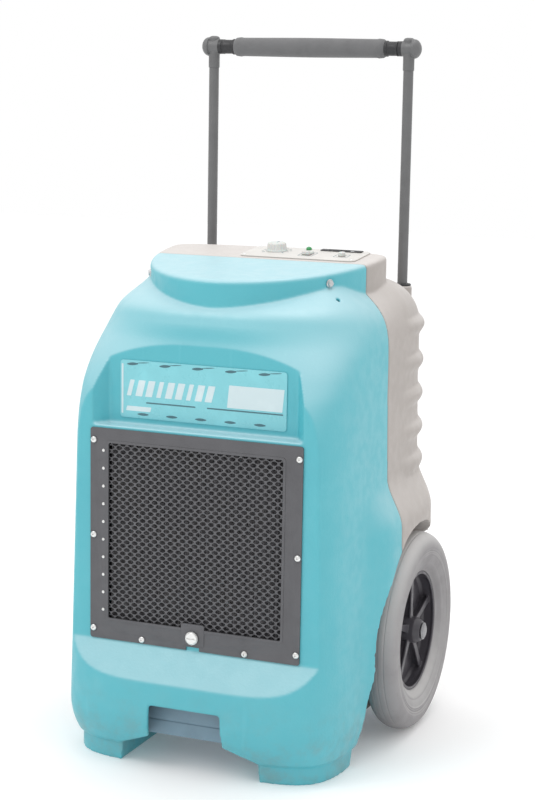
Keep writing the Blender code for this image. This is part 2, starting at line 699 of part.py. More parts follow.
def make_control_panel():
    look = (PALE, 0.5, 0.0)
    panel = neck_block("control_panel", rounded_rectangle(PANEL_X, PANEL_Y_SPAN, 0.010), GAP, PANEL_THICK,
                       look)
    top = PANEL_THICK + GAP
    x, y = METER_XY
    meter = rounded_rectangle((x - METER_HALF[0], x + METER_HALF[0]),
                              (y - METER_HALF[1], y + METER_HALF[1]), 0.002, 1)
    neck_block("hour_meter", meter, top, top + 0.0012, (BLACK, 0.3, 0.0))
    lamp = [(0, 0), (0.0045, 0), (0.0045, 0.002), (0.003, 0.004), (0, 0.0045)]
    turned("power_lamp", lamp, on_neck(*LAMP_XY, top), NORMAL, ((0.1, 0.7, 0.2), 0.2, 0.0), 12)
    x, y = SWITCH_XY
    pocket = rectangle((x - 0.0075, x + 0.0075), (y - 0.0108, y + 0.0108))
    boolean(panel, as_cutter(neck_block("switch_pocket", pocket, -0.002, 0.010)))
    rocker = rectangle((x - 0.0065, x + 0.0065), (y - 0.0095, y + 0.0095))
    switch = neck_block("power_switch", rocker, top - 0.0006, top + 0.0044, (PALE, 0.35, 0.0))
    set_origin(switch, on_neck(x, y, top + SWITCH_PIVOT))
    switch.rotation_euler.x = math.radians(-SWITCH_TILT)
    profile = [(0, 0), (0.017, 0), (0.0155, 0.010), (0.0135, 0.0125), (0, 0.0125)]
    knob = turned("humidistat_knob", profile, on_neck(*KNOB_XY, top), NORMAL, (PALE, 0.4, 0.0), 24)
    set_origin(knob, on_neck(*KNOB_XY, top))
    hole = rod("button_hole", on_neck(*BUTTON_XY, -0.002), on_neck(*BUTTON_XY, 0.010), 0.0060, None, 16)
    boolean(panel, as_cutter(hole))
    profile = [(0, 0), (0.0055, 0), (0.0055, 0.0050), (0.0045, 0.0060), (0, 0.0060)]
    button = turned("purge_button", profile, on_neck(*BUTTON_XY, 0.0026), NORMAL, (PALE, 0.4, 0.0), 16)
    set_origin(button, on_neck(*BUTTON_XY, 0.0026))


# ---------------------------------------------------------------- pull handle
def make_handle():
    powder = ((0.10, 0.10, 0.105), 0.45, 0.3)
    for side, word in ((-1, "left"), (1, "right")):
        x = side * LEG_X
        leg = ring_profile(LEG_RADIUS - TUBE_WALL, LEG_RADIUS, LEG_BOTTOM_Z, GRIP_Z - LEG_STOP)
        turned("handle_leg_" + word, leg, (x, LEG_Y, 0), (0, 0, 1), powder, 16)
        cap = [(0, -CORNER_INNER), (COLLAR_RADIUS, -CORNER_INNER), (COLLAR_RADIUS, 0.0080),
               (CAP_RADIUS, 0.0080), (CAP_RADIUS, 0.0110), (0.75 * CAP_RADIUS, 0.0155),
               (0.35 * CAP_RADIUS, 0.0195), (0, CORNER_OUTER)]
        corner = turned("handle_corner_" + word, cap, (x, LEG_Y, GRIP_Z), (side, 0, 0), powder, 16)
        sleeve = [(0, -0.034), (SLEEVE_RADIUS, -0.034), (SLEEVE_RADIUS, CORNER_TOP - 0.004),
                  (0.6 * SLEEVE_RADIUS, CORNER_TOP), (0, CORNER_TOP)]
        upright = turned("corner_sleeve_" + word, sleeve, (x, LEG_Y, GRIP_Z), (0, 0, 1), None, 16)
        boolean(corner, as_cutter(upright), "UNION")
        leg_hole = rod("corner_bore_" + word, (x, LEG_Y, GRIP_Z - 0.05), (x, LEG_Y, GRIP_Z - LEG_STOP + GAP),
                       LEG_RADIUS + GAP, None, 16)
        boolean(corner, as_cutter(leg_hole))
        bar_hole = rod("corner_bar_bore_" + word, (0, LEG_Y, GRIP_Z), (x + side * 0.0005, LEG_Y, GRIP_Z),
                       BAR_RADIUS + GAP, None, 16)
        boolean(corner, as_cutter(bar_hole))
    bar = ring_profile(BAR_RADIUS - TUBE_WALL, BAR_RADIUS, -LEG_X, LEG_X)
    turned("handle_cross_bar", bar, (0, LEG_Y, GRIP_Z), (1, 0, 0), powder, 16)
    inner = BAR_RADIUS + GAP
    reach = GRIP_HALF
    end = COLLAR_RADIUS
    neck = LEG_X - CORNER_INNER - GAP
    profile = [(inner, -neck), (end, -neck), (end, -reach), (GRIP_RADIUS, -reach + 0.006),
               (GRIP_RADIUS, reach - 0.006), (end, reach), (end, neck), (inner, neck)]
    turned("handle_grip", profile, (0, LEG_Y, GRIP_Z), (1, 0, 0), ((0.09, 0.09, 0.092), 0.8, 0.0), 16)


def make_handle_guides():
    for side, word in ((-1, "left"), (1, "right")):
        x = side * LEG_X
        bore = LEG_RADIUS + 0.0005
        lip = BUSH_RADIUS + 0.0025
        profile = [(bore, 0.636), (BUSH_RADIUS, 0.636), (BUSH_RADIUS, BUSH_SEAT_Z + GAP),
                   (lip, BUSH_SEAT_Z + GAP), (lip, BUSH_SEAT_Z + 0.0020),
                   (bore + 0.0015, BUSH_SEAT_Z + 0.0032), (bore, BUSH_SEAT_Z + 0.0032)]
        turned("handle_bush_" + word, profile, (x, LEG_Y, 0), (0, 0, 1), (BLACK, 0.5, 0.0), 14)
        tube = ring_profile(bore, 0.0112, *GUIDE_Z)
        turned("handle_guide_" + word, tube, (x, LEG_Y, 0), (0, 0, 1), (STEEL, 0.4, 1.0), 14)


# ---------------------------------------------------------------- wheels
def tyre_profile():
    """Cross section of the tyre: rounded tread, and sides that slope in to the rim."""
    w = TYRE_HALF_WIDTH
    r = WHEEL_RADIUS
    outer = []
    for k in range(7):
        turn = math.radians(-90 + 180 * k / 6)
        outer.append((r - 0.020 + 0.020 * max(math.cos(turn), 0.0), w * math.sin(turn)))
    bead = RIM_RADIUS + GAP
    return ([(bead, -RIM_HALF_WIDTH), (TYRE_LIP_RADIUS, -0.8 * w)] + outer
            + [(TYRE_LIP_RADIUS, 0.8 * w), (bead, RIM_HALF_WIDTH)])


def make_wheels():
    for side, word in ((-1, "left"), (1, "right")):
        centre = (side * WHEEL_X, WHEEL_Y, WHEEL_RADIUS)
        axis = (side, 0, 0)
        tyre = turned("tyre_" + word, tyre_profile(), centre, axis, ((0.55, 0.53, 0.52), 0.7, 0.0), 32)
        set_origin(tyre, centre)
        make_rim(word, side, centre, axis)
        cap = [(0, 0), (0.0135, 0), (0.0135, 0.0012), (0.0105, 0.0028), (0, 0.0032)]
        cap_x = side * 0.2520
        bore = rod("cap_bore_" + word, (0, WHEEL_Y, WHEEL_RADIUS),
                   (side * (AXLE_END_X + GAP), WHEEL_Y, WHEEL_RADIUS),
                   AXLE_RADIUS + GAP, None, 16)
        piece = turned("axle_cap_" + word, cap, (cap_x, WHEEL_Y, WHEEL_RADIUS), axis, (STEEL, 0.4, 1.0), 14)
        boolean(piece, as_cutter(bore))
    rod("axle", (-AXLE_END_X, WHEEL_Y, WHEEL_RADIUS), (AXLE_END_X, WHEEL_Y, WHEEL_RADIUS), AXLE_RADIUS,
        (STEEL, 0.35, 1.0), 16)


def make_rim(word, side, centre, axis):
    """Dished rim: a barrel closed by a web on its inner side, with a hub and five ribs."""
    look = (BLACK, 0.4, 0.0)
    w = RIM_HALF_WIDTH
    inner = RIM_RADIUS - RIM_WALL
    dish = [(0.020, -w), (RIM_RADIUS, -w), (RIM_RADIUS, w), (inner, w), (inner, RIM_WALL - w),
            (0.020, RIM_WALL - w)]
    rim = turned("wheel_rim_" + word, dish, centre, axis, look, 32)
    hub = turned("hub_" + word, ring_profile(BORE_RADIUS, 0.021, -0.026, 0.0215), centre, axis, None, 16)
    boolean(rim, as_cutter(hub), "UNION")
    start = 0.017
    reach = inner + 0.001 - start
    for k in range(5):
        bm = bmesh.new()
        size = Matrix.Diagonal((*SPOKE_SECTION, reach, 1.0))
        spin = Matrix.Rotation(math.radians(72 * k), 4, "X")
        place = Matrix.Translation(centre) @ spin @ Matrix.Translation((0, 0, start + reach / 2))
        bmesh.ops.create_cube(bm, size=1.0, matrix=place @ size)
        spoke = add_object("spoke_%s_%d" % (word, k), bm, None, smooth=False)
        boolean(rim, as_cutter(spoke), "UNION")
    set_origin(rim, centre)


# ---------------------------------------------------------------- inside
def make_chassis():
    outline = rounded_rectangle((-PAN_HALF, PAN_HALF), PAN_Y, 0.045)
    pan = prism("base_frame", outline, "Z", PAN_Z[0], PAN_Z[1], ((0.16, 0.18, 0.21), 0.5, 0.5))
    inside = rounded_rectangle((-PAN_HALF + 0.003, PAN_HALF - 0.003), (PAN_Y[0] + 0.003, PAN_Y[1] - 0.003),
                               0.042)
    boolean(pan, as_cutter(prism("pan_inside", inside, "Z", DECK_Z, 0.2)))
    for side, word in ((-1, "left"), (1, "right")):
        outline = [(WHEEL_Y - 0.030, PAN_Z[0] + 0.001), (WHEEL_Y + 0.030, PAN_Z[0] + 0.001),
                   (WHEEL_Y + 0.018, 0.172), (WHEEL_Y - 0.018, 0.172)]
        low, high = sorted((side * 0.170, side * 0.174))
        boolean(pan, as_cutter(prism("axle_ear_" + word, outline, "X", low, high)), "UNION")
    bore_ends = [(x, WHEEL_Y, WHEEL_RADIUS) for x in (-0.20, 0.20)]
    hole = rod("ear_bore", *bore_ends, BORE_RADIUS, None, 16)
    boolean(pan, as_cutter(hole))


def make_coil(name, y, look):
    """Finned heat exchanger with end plates and return bends along one side."""
    block = box(name, (-COIL_HALF, y[0], COIL_Z[0]), (COIL_HALF, y[1], COIL_Z[1]), look)
    groove = (y[1] - y[0]) * 0.3
    bm = bmesh.new()
    rows = 3
    pitch = (COIL_Z[1] - COIL_Z[0]) / rows
    for k in range(rows):
        z = COIL_Z[0] + (k + 0.5) * pitch
        for y_side in y:
            size = Matrix.Diagonal((2 * COIL_HALF - 0.02, groove, 0.55 * pitch, 1.0))
            bmesh.ops.create_cube(bm, size=1.0, matrix=Matrix.Translation((0, y_side, z)) @ size)
    boolean(block, as_cutter(add_object(name + "_grooves", bm, None, smooth=False)))


def make_refrigeration():
    make_coil("evaporator_coil", (-0.182, -0.140), ((0.70, 0.62, 0.52), 0.4, 0.8))
    make_coil("condenser_coil", (-0.112, -0.078), ((0.60, 0.56, 0.52), 0.4, 0.8))
    tray = box("drip_tray", (-0.160, -0.188, 0.102), (0.160, -0.134, 0.121), ((0.12, 0.12, 0.13), 0.5, 0.0))
    boolean(tray, as_cutter(box("tray_inside", (-0.157, -0.185, 0.105), (0.157, -0.137, 0.2))))
    cx, cy = COMPRESSOR_XY
    profile = [(0, 0.0), (0.066, 0.0), (0.066, 0.004), (0.050, 0.006), (0.056, 0.020), (0.056, 0.192),
               (0.042, 0.220), (0.012, 0.229), (0, 0.229)]
    turned("compressor", profile, (cx, cy, DECK_Z + GAP), (0, 0, 1), (BLACK, 0.4, 0.2), 16)
    top = Vector((cx, cy, DECK_Z + GAP + 0.229))
    drier = [(0, 0), (0.006, 0.004), (0.012, 0.018), (0.012, 0.078), (0.006, 0.092), (0, 0.096)]
    turned("filter_drier", drier, (0.045, -0.040, 0.150), (0, 0, 1), (COPPER, 0.35, 1.0), 12)
    pipe("suction_line", [(0.164, -0.161, 0.520), (0.164, -0.125, 0.525), (0.150, -0.060, 0.512),
                          (0.020, -0.040, 0.500), (top.x + 0.012, cy, 0.470), (top.x + 0.004, cy, 0.400),
                          (top.x, cy, top.z + 0.001)], 0.0045, (COPPER, 0.3, 1.0))
    pipe("discharge_line", [(cx - 0.0585, cy, 0.200), (cx - 0.075, cy, 0.215),
                            (cx - 0.077, cy - 0.010, 0.420), (cx - 0.072, cy - 0.030, 0.470),
                            (-0.145, -0.060, 0.480), (-0.145, -0.0775, 0.480)],
         0.0035, (COPPER, 0.3, 1.0))
    pipe("liquid_line", [(0.045, -0.040, 0.2465), (0.045, -0.042, 0.300), (0.060, -0.050, 0.330),
                         (0.100, -0.058, 0.340), (0.140, -0.062, 0.345), (0.146, -0.0775, 0.345)],
         0.003, (COPPER, 0.3, 1.0))


def make_fan():
    plate = prism("fan_shroud", rounded_rectangle((-0.142, 0.142), (FAN_Z - 0.140, FAN_Z + 0.140), 0.01, 1),
                  "Y", 0.150, 0.190, ((0.08, 0.08, 0.085), 0.5, 0.0))
    boolean(plate, as_cutter(rod("shroud_bore", (0, 0.10, FAN_Z), (0, 0.25, FAN_Z), 0.133, None, 28)))
    profile = [(0, -0.048), (0.030, -0.048), (0.038, -0.042), (0.038, 0.0), (0.004, 0.0), (0.004, 0.020),
               (0, 0.020)]
    turned("fan_motor", profile, (0, 0.140, FAN_Z), (0, 1, 0), ((0.25, 0.25, 0.27), 0.4, 0.8), 16)
    hub = turned("fan_blade", ring_profile(0.0045, 0.026, 0.0, 0.026), (0, 0.146, FAN_Z), (0, 1, 0),
                 ((0.10, 0.10, 0.11), 0.4, 0.0), 14)
    for k in range(5):
        spin = Matrix.Rotation(math.radians(72 * k), 4, "Y")
        tilt = Matrix.Rotation(math.radians(28), 4, "Z")
        bm = bmesh.new()
        bmesh.ops.create_cube(bm, size=1.0, matrix=Matrix.Diagonal((0.046, 0.0025, 0.100, 1.0)))
        bm.transform(Matrix.Translation((0, 0.160, FAN_Z)) @ spin @ Matrix.Translation((0, 0, 0.072)) @ tilt)
        boolean(hub, as_cutter(add_object("blade_%d" % k, bm, None, smooth=False)), "UNION")
    set_origin(hub, (0, 0.146, FAN_Z))
    bracket = box("motor_bracket", (-0.146, 0.100, FAN_Z - 0.012), (0.146, 0.104, FAN_Z + 0.012),
                  ((0.45, 0.46, 0.48), 0.4, 0.9))
    strap = box("motor_strap", (-0.046, 0.1005, FAN_Z - 0.046), (0.046, 0.1035, FAN_Z + 0.046))
    boolean(bracket, as_cutter(strap), "UNION")
    boolean(bracket, as_cutter(rod("bracket_ring", (0, 0.05, FAN_Z), (0, 0.2, FAN_Z), 0.0385, None, 24)))


def make_condensate_pump():
    low = (0.070, -0.010, 0.0485)
    high = (0.160, 0.074, 0.128)
    tank = box("pump_reservoir", low, high, ((0.75, 0.76, 0.74), 0.35, 0.0))
    inside = box("reservoir_inside", (low[0] + 0.003, low[1] + 0.003, low[2] + 0.003),
                 (high[0] - 0.003, high[1] - 0.003, 0.2))
    boolean(tank, as_cutter(inside))
    pump = [(0, 0.0), (0.006, 0.0), (0.006, 0.040), (0.026, 0.042), (0.026, 0.092), (0.018, 0.098),
            (0, 0.098)]
    turned("condensate_pump", pump, (0.106, 0.034, 0.088), (0, 0, 1), ((0.10, 0.12, 0.16), 0.4, 0.0), 14)
    disc = [(0, 0), (0.012, 0), (0.012, 0.012), (0, 0.012)]
    turned("pump_float", disc, (0.143, 0.014, 0.0520), (0, 0, 1), ((0.85, 0.85, 0.82), 0.5, 0.0), 16)


def make_electrics():
    case = box("electrical_box", (-0.125, 0.000, 0.565), (-0.010, 0.090, 0.655),
               ((0.30, 0.31, 0.33), 0.45, 0.8))
    bevel(case, 0.004)


def make_rear_fittings():
    frame = prism("exhaust_grille", rounded_rectangle((-0.128, 0.128), (0.272, 0.528), 0.014), "Y",
                  REAR_Y + 0.0095, REAR_Y + 0.0125, ((0.10, 0.10, 0.105), 0.55, 0.0))
    neck = prism("grille_neck", rounded_rectangle((-0.1215, 0.1215), (0.2785, 0.5215), 0.011), "Y",
                 0.2300, REAR_Y + 0.0110)
    boolean(frame, as_cutter(neck), "UNION")
    bars = bmesh.new()
    count = 7
    pitch = 0.232 / count
    for k in range(count):
        z = 0.284 + (k + 0.5) * pitch
        size = Matrix.Diagonal((0.232, 0.08, 0.62 * pitch, 1.0))
        bmesh.ops.create_cube(bars, size=1.0, matrix=Matrix.Translation((0, 0.245, z)) @ size)
    boolean(frame, as_cutter(add_object("louvre_gaps", bars, None, smooth=False)))
    barb = [(0.0040, -0.030), (0.0110, -0.030), (0.0110, 0.0015), (0.0165, 0.0015), (0.0165, 0.0045),
            (0.0085, 0.0045), (0.0085, 0.0120), (0.0040, 0.0120)]
    turned("drain_outlet", barb, (0.110, REAR_Y, 0.200), (0, 1, 0), ((0.70, 0.62, 0.35), 0.35, 1.0), 14)
    inlet = [(0, -0.024), (0.0115, -0.024), (0.0115, 0.0015), (0.0190, 0.0015), (0.0190, 0.0060),
             (0.0120, 0.0080), (0.0120, -0.012), (0, -0.012)]
    turned("power_inlet", inlet, (-0.110, REAR_Y, 0.200), (0, 1, 0), (BLACK, 0.5, 0.0), 16)


def main():
    clear_scene()
    shared = housing_cutters()
    make_front_housing(shared)
    make_rear_housing(shared)
    frame_front = make_grille()
    make_grille_mesh()
    make_latch(frame_front)
    make_nameplate()
    make_housing_bolts()
    make_filter()
    make_control_panel()
    make_handle()
    make_handle_guides()
    make_wheels()
    make_chassis()
    make_refrigeration()
    make_fan()
    make_condensate_pump()
    make_electrics()
    make_rear_fittings()


main()
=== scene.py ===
"""Looks of a portable dehumidifier: moulded two-colour housing, steel intake grille,
pull handle, two ribbed wheels, and the machinery inside.

Units are metres, +Z up, the front faces -Y.  Every piece sits where the node that it
stands for is, and rides on that node's body.
"""
import json
from math import copysign, cos, pi, radians, sin, sqrt

import bmesh
import bpy
import numpy as np
from mathutils import Matrix, Vector

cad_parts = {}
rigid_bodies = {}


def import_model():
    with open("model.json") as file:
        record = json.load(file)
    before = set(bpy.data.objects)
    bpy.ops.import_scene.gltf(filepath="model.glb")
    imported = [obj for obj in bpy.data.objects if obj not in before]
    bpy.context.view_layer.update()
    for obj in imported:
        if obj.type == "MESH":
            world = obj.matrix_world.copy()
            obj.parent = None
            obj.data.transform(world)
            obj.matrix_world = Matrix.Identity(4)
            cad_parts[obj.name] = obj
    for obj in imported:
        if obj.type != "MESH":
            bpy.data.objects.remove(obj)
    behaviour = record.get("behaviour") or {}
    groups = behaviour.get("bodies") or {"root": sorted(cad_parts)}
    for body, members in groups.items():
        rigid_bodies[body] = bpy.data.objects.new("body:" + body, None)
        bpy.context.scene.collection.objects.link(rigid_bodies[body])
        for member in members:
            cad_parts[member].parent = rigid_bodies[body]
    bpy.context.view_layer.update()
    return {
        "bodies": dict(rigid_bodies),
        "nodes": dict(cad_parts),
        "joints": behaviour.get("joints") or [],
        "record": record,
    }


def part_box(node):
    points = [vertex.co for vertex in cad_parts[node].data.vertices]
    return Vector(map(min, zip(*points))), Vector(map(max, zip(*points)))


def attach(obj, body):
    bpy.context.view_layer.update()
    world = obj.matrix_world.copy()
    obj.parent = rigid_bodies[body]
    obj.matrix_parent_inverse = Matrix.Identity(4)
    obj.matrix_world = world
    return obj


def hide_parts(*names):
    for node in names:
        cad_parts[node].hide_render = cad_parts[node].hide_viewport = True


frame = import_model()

NODE_BODY = {node: body for body, nodes in frame["record"]["behaviour"]["bodies"].items() for node in nodes}

# ------------------------------------------------------------------ sizes from the frame
def middle(node):
    low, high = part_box(node)
    return (low + high) / 2


def half_size(node):
    low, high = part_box(node)
    return (high - low) / 2


WHEEL = middle("tyre_right")
WHEEL_RADIUS = half_size("tyre_right").z
TYRE_HALF = half_size("tyre_right").x
LEG = middle("handle_leg_right")
LEG_RADIUS = half_size("handle_leg_right").x
GRIP_Z = middle("handle_grip").z
PANEL_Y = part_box("grille_frame")[1].y + 0.0003
SEAM_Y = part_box("rear_housing")[0].y
FAN = middle("fan_motor")         # a five-bladed fan's own box is not centred on its axis

# ------------------------------------------------------------------ shape of the housing
GAP = 0.0003                      # clearance between neighbouring pieces
WALL = 0.004
WIDEST_Y = -0.020
BODY_HALF = 0.2139
BODY_DRAFT = 0.0246
FRONT_DRAFT = 0.010
REAR_Y = 0.243
SHOULDER_Z = 0.5447
SHOULDER_TOP_Z = 0.7185
SHOULDER_HALF = 0.160
SHOULDER_POWERS = (6.28, 0.488)   # how suddenly the shoulder turns in, and how fully
BROW = ((0.480, -0.2560), (0.540, -0.2475), (0.590, -0.2225), (0.635, -0.2010), (0.665, -0.1925),
        (0.684, -0.1800), (0.700, -0.1480), (0.7185, -0.1090))   # (height, front) of the brow
FRONT_SQUARENESS = 5.4
SHOULDER_SQUARENESS = 2.65
SQUARENESS_Z = (0.560, 0.665)
REAR_SQUARENESS = 5.5
REAR_ROUND_Z = 0.635
REAR_CROWN_Y = 0.080
REAR_WIDEN_Y = (0.0, 0.100)
BODY_BOTTOM_Z = 0.030
SKIRT_Z = 0.085
SKIRT_TUCK = 0.018
FOOT_STEP = 0.006
NECK_HALF = 0.181
NECK_FRONT_Y = -0.177
NECK_REAR_Y = 0.108
NECK_WIDEST_Y = 0.070
NECK_SQUARENESS = (2.0, 3.2)
NECK_ROOT_Z = 0.660
NECK_TOP_FRONT_Z = 0.7268
NECK_TOP_SLOPE = 0.090
NECK_EDGE = 0.006
BOLT_ANGLE = 36.0
BOLT_Z = 0.7205
FLARE = 0.024                     # outward swell of the wheel arches
FLARE_Z = (0.06, 0.16, 0.345, 0.42)
FLARE_Y = (-0.115, -0.030)
RIB_HEIGHTS = (0.420, 0.472, 0.526, 0.579, 0.637)
RIB_DEPTH = 0.009
RIB_HALF_HEIGHT = 0.015
RIB_FADE_Y = (0.06, 0.15)
WELL_RADIUS = 0.175
WELL_X = 0.1915                   # the flat inner side of a wheel well
PANEL_BOTTOM_Z = 0.1825
SKIRT_LIP = (-0.2585, 0.136)
INTAKE_HALF = 0.150
INTAKE_Z = (0.204, 0.492)
WINDOW_HALF = 0.139
WINDOW_Z = (0.216, 0.483)
PLATE_FLOOR_Y = -0.202
PLATE_LEDGE_Z = 0.509
PLATE_FLOOR_HALF = 0.150
PLATE_MOUTH_HALF = 0.168
NOTCH = ((0.1125, -0.01), (0.1125, 0.0), (0.1095, 0.030), (0.060, 0.050), (0.057, 0.100))
FOOT_REAR_Y = -0.105
UNDERCUT_Z = 0.045
TYRE_LIP_RADIUS = 0.108
RIM_HALF_WIDTH = 0.0125
RIB_WEB_X = (-0.0095, 0.0035)     # the ribs are T-shaped: a thin web with a broader cap
RIB_WEB_Y = (-0.0022, 0.0022)
RIB_CAP_X = (0.0005, 0.0040)
RIB_CAP_Y = (-0.0050, 0.0050)
BUSH_RADIUS = 0.0115
BUSH_SEAT_Z = 0.6925              # top of the boss round each handle leg
HANDLE_COLLAR_X = 0.0100          # from the middle of a handle corner to its dark collar
AXLE_BORE = 0.0085
WHEEL_RIBS = 5
FAN_BLADES = 5
MESH_PITCH = (0.0130, 0.0118)
MESH_HOLE = (0.39, 0.26)          # half of a hole, as a share of the pitch
OUTSIDE = 0.32                    # cutting shapes reach this far from the middle
AHEAD = 0.30
OVERHEAD = 0.80
UNDERFOOT = -0.05
WELL_FRONT_Y = -0.135
REAR_FITTING_X = 0.110            # drain outlet and power inlet
REAR_FITTING_Z = 0.200

# ------------------------------------------------------------------ shape of the control panel
PANEL_NORMAL = Vector((0, -NECK_TOP_SLOPE, 1)).normalized()
PANEL_THICK = 0.0020
PANEL_TOP = PANEL_THICK + GAP     # lift of the fittings above the neck
PANEL_X = (-0.040, 0.150)
PANEL_Y_SPAN = (0.016, 0.098)
METER_XY = (0.104, 0.088)
METER_HALF = (0.034, 0.006)
LAMP_XY = (0.050, 0.086)
SWITCH_XY = (0.062, 0.050)
SWITCH_TILT = -7.0                # degrees, the rocker's resting tilt
KNOB_XY = (0.004, 0.066)
BUTTON_XY = (0.118, 0.050)

# ------------------------------------------------------------------ light and camera
FRONT_LIGHT = 0.88
CEILING_LIGHT = 0.15
KEY_POWER = 24
TOP_POWER = 14
CAMERA_TURN = 0.38876             # radians: to the right of the front, above it, and rolled
CAMERA_TILT = 0.17268
CAMERA_ROLL = 0.01709
CAMERA_PLACE = (1.11441, -2.67364, 1.02865)
CAMERA_LENS = 85.18

# ------------------------------------------------------------------ sides, corners and fineness
SIDES = ((-1, "left"), (1, "right"))
CORNERS = ((-1, -1), (-1, 1), (1, -1), (1, 1))
ON_AXIS = 1e-7                    # a smaller radius counts as a point on the axis
RING_POINTS = 280
RING_STEP = 0.004
SKIN_VOXEL = 0.0021
SHELL_TRIANGLES = 150000


# ------------------------------------------------------------------ mesh helpers
def mesh_object(name, mesh):
    obj = bpy.data.objects.new(name, mesh)
    bpy.context.scene.collection.objects.link(obj)
    return obj


def from_bmesh(name, bm):
    bmesh.ops.recalc_face_normals(bm, faces=bm.faces)
    mesh = bpy.data.meshes.new(name)
    bm.to_mesh(mesh)
    bm.free()
    return mesh_object(name, mesh)


def freeze(obj):
    """Apply the modifiers of an object."""
    graph = bpy.context.evaluated_depsgraph_get()
    mesh = bpy.data.meshes.new_from_object(obj.evaluated_get(graph))
    obj.modifiers.clear()
    obj.data = mesh
    return obj


def combine(obj, others, operation="DIFFERENCE"):
    """Boolean with other closed shapes, which are used up."""
    for other in others:
        mod = obj.modifiers.new("shape", "BOOLEAN")
        mod.operation = operation
        mod.solver = "MANIFOLD"
        mod.object = other
    freeze(obj)
    for other in others:
        bpy.data.objects.remove(other, do_unlink=True)
    return obj


def soften(obj, voxel, rounds, triangles=None):
    """Remesh a closed shape evenly and smooth it, which rounds every edge."""
    skin = obj.modifiers.new("skin", "REMESH")
    skin.mode = "VOXEL"
    skin.voxel_size = voxel
    soft = obj.modifiers.new("soft", "SMOOTH")
    soft.factor = 0.5
    soft.iterations = rounds
    freeze(obj)
    count = 2 * len(obj.data.polygons)
    if triangles and count > triangles:
        thin = obj.modifiers.new("thin", "DECIMATE")
        thin.ratio = triangles / count
        freeze(obj)
    return obj


def bevelled(obj, width, segments=3, angle=30):
    mod = obj.modifiers.new("edges", "BEVEL")
    mod.width = width
    mod.segments = segments
    mod.limit_method = "ANGLE"
    mod.angle_limit = radians(angle)
    return freeze(obj)


def loft(name, rings):
    """Closed shape through rings of equal length."""
    rings = [np.asarray(ring, float) for ring in rings]
    count = len(rings[0])
    faces = []
    for level in range(len(rings) - 1):
        base = level * count
        for i in range(count):
            j = (i + 1) % count
            faces.append((base + i, base + j, base + count + j, base + count + i))
    top = (len(rings) - 1) * count
    faces.append(tuple(reversed(range(count))))
    faces.append(tuple(range(top, top + count)))
    mesh = bpy.data.meshes.new(name)
    mesh.from_pydata(np.vstack(rings).tolist(), [], faces)
    bm = bmesh.new()
    bm.from_mesh(mesh)
    bpy.data.meshes.remove(mesh)
    return from_bmesh(name, bm)


def axis_frame(axis):
    axis = Vector(axis).normalized()
    helper = Vector((0, 0, 1)) if abs(axis.z) < 0.9 else Vector((0, 1, 0))
    across = helper.cross(axis).normalized()
    return across, axis.cross(across), axis


def corner_curve(before, here, after, radius, steps):
    """Points of the small curve that rounds one corner of an outline."""
    before, here, after = Vector(before), Vector(here), Vector(after)
    reach = min(radius, 0.45 * (before - here).length, 0.45 * (after - here).length)
    start = here + (before - here).normalized() * reach
    end = here + (after - here).normalized() * reach
    shares = [step / steps for step in range(steps + 1)]
    return [tuple(start * (1 - t) ** 2 + here * 2 * t * (1 - t) + end * t ** 2) for t in shares]


def rounded(profile, radius, steps=4):
    """Round the corners of a closed outline of 2-D points."""
    points = []
    for trio in zip(profile[-1:] + profile[:-1], profile, profile[1:] + profile[:1]):
        points += corner_curve(*trio, radius, steps)
    return points


def turned(name, profile, centre, axis, segments=64, radius=0.0, steps=4):
    """Turn an outline of (radius, height) points about an axis, with its corners rounded."""
    on_axis = [point for point in profile if point[0] < ON_AXIS]
    if radius and not on_axis:
        profile = rounded(profile, radius, steps)
    elif radius:
        chain = on_axis[:1] + [point for point in profile if point[0] >= ON_AXIS] + on_axis[-1:]
        smooth = []
        for trio in zip(chain, chain[1:], chain[2:]):
            smooth += corner_curve(*trio, radius, steps)
        profile = chain[:1] + smooth + chain[-1:]
    across, up, along = axis_frame(axis)
    centre = Vector(centre)
    bm = bmesh.new()
    columns = []
    for r, height in profile:
        r, spot = float(r), centre + along * float(height)
        if r < ON_AXIS:
            columns.append([bm.verts.new(spot)] * segments)
            continue
        turns = (2 * pi * k / segments for k in range(segments))
        columns.append([bm.verts.new(spot + r * (across * cos(t) + up * sin(t))) for t in turns])
    for a, b in zip(columns, columns[1:] + columns[:1]):
        if a[0] is a[1] and b[0] is b[1]:
            continue
        for i in range(segments):
            j = (i + 1) % segments
            corners = []
            for vert in (a[i], a[j], b[j], b[i]):
                if vert not in corners:
                    corners.append(vert)
            bm.faces.new(corners)
    return from_bmesh(name, bm)


def prism(name, outline, axis, low, high):
    """Outline of 2-D points pulled along X, Y or Z."""
    order = {"X": (2, 0, 1), "Y": (0, 2, 1), "Z": (0, 1, 2)}[axis]
    return loft(name, [[[(u, v, w)[k] for k in order] for u, v in outline] for w in (low, high)])


def rod(name, start, end, radius, segments=24):
    length = (Vector(end) - Vector(start)).length
    profile = [(0, 0), (radius, 0), (radius, length), (0, length)]
    return turned(name, profile, start, Vector(end) - Vector(start), segments)


def about(centre, half):
    """Limits at equal distances from a centre."""
    return centre - half, centre + half


def rectangle(u, v):
    return [(u[0], v[0]), (u[1], v[0]), (u[1], v[1]), (u[0], v[1])]


def round_rectangle(u, v, radius, steps=8):
    points = []
    centres = ((u[1] - radius, v[1] - radius, 0), (u[0] + radius, v[1] - radius, 90),
               (u[0] + radius, v[0] + radius, 180), (u[1] - radius, v[0] + radius, 270))
    for cu, cv, start in centres:
        for k in range(steps + 1):
            turn = radians(start + 90 * k / steps)
            points.append((cu + radius * cos(turn), cv + radius * sin(turn)))
    return points


def box_outline(low, high, axes, inset, radius, steps=8):
    """Round-cornered outline of a box seen along its third axis, drawn in by inset."""
    spans = [(getattr(low, axis) + inset, getattr(high, axis) - inset) for axis in axes]
    return round_rectangle(*spans, radius, steps)


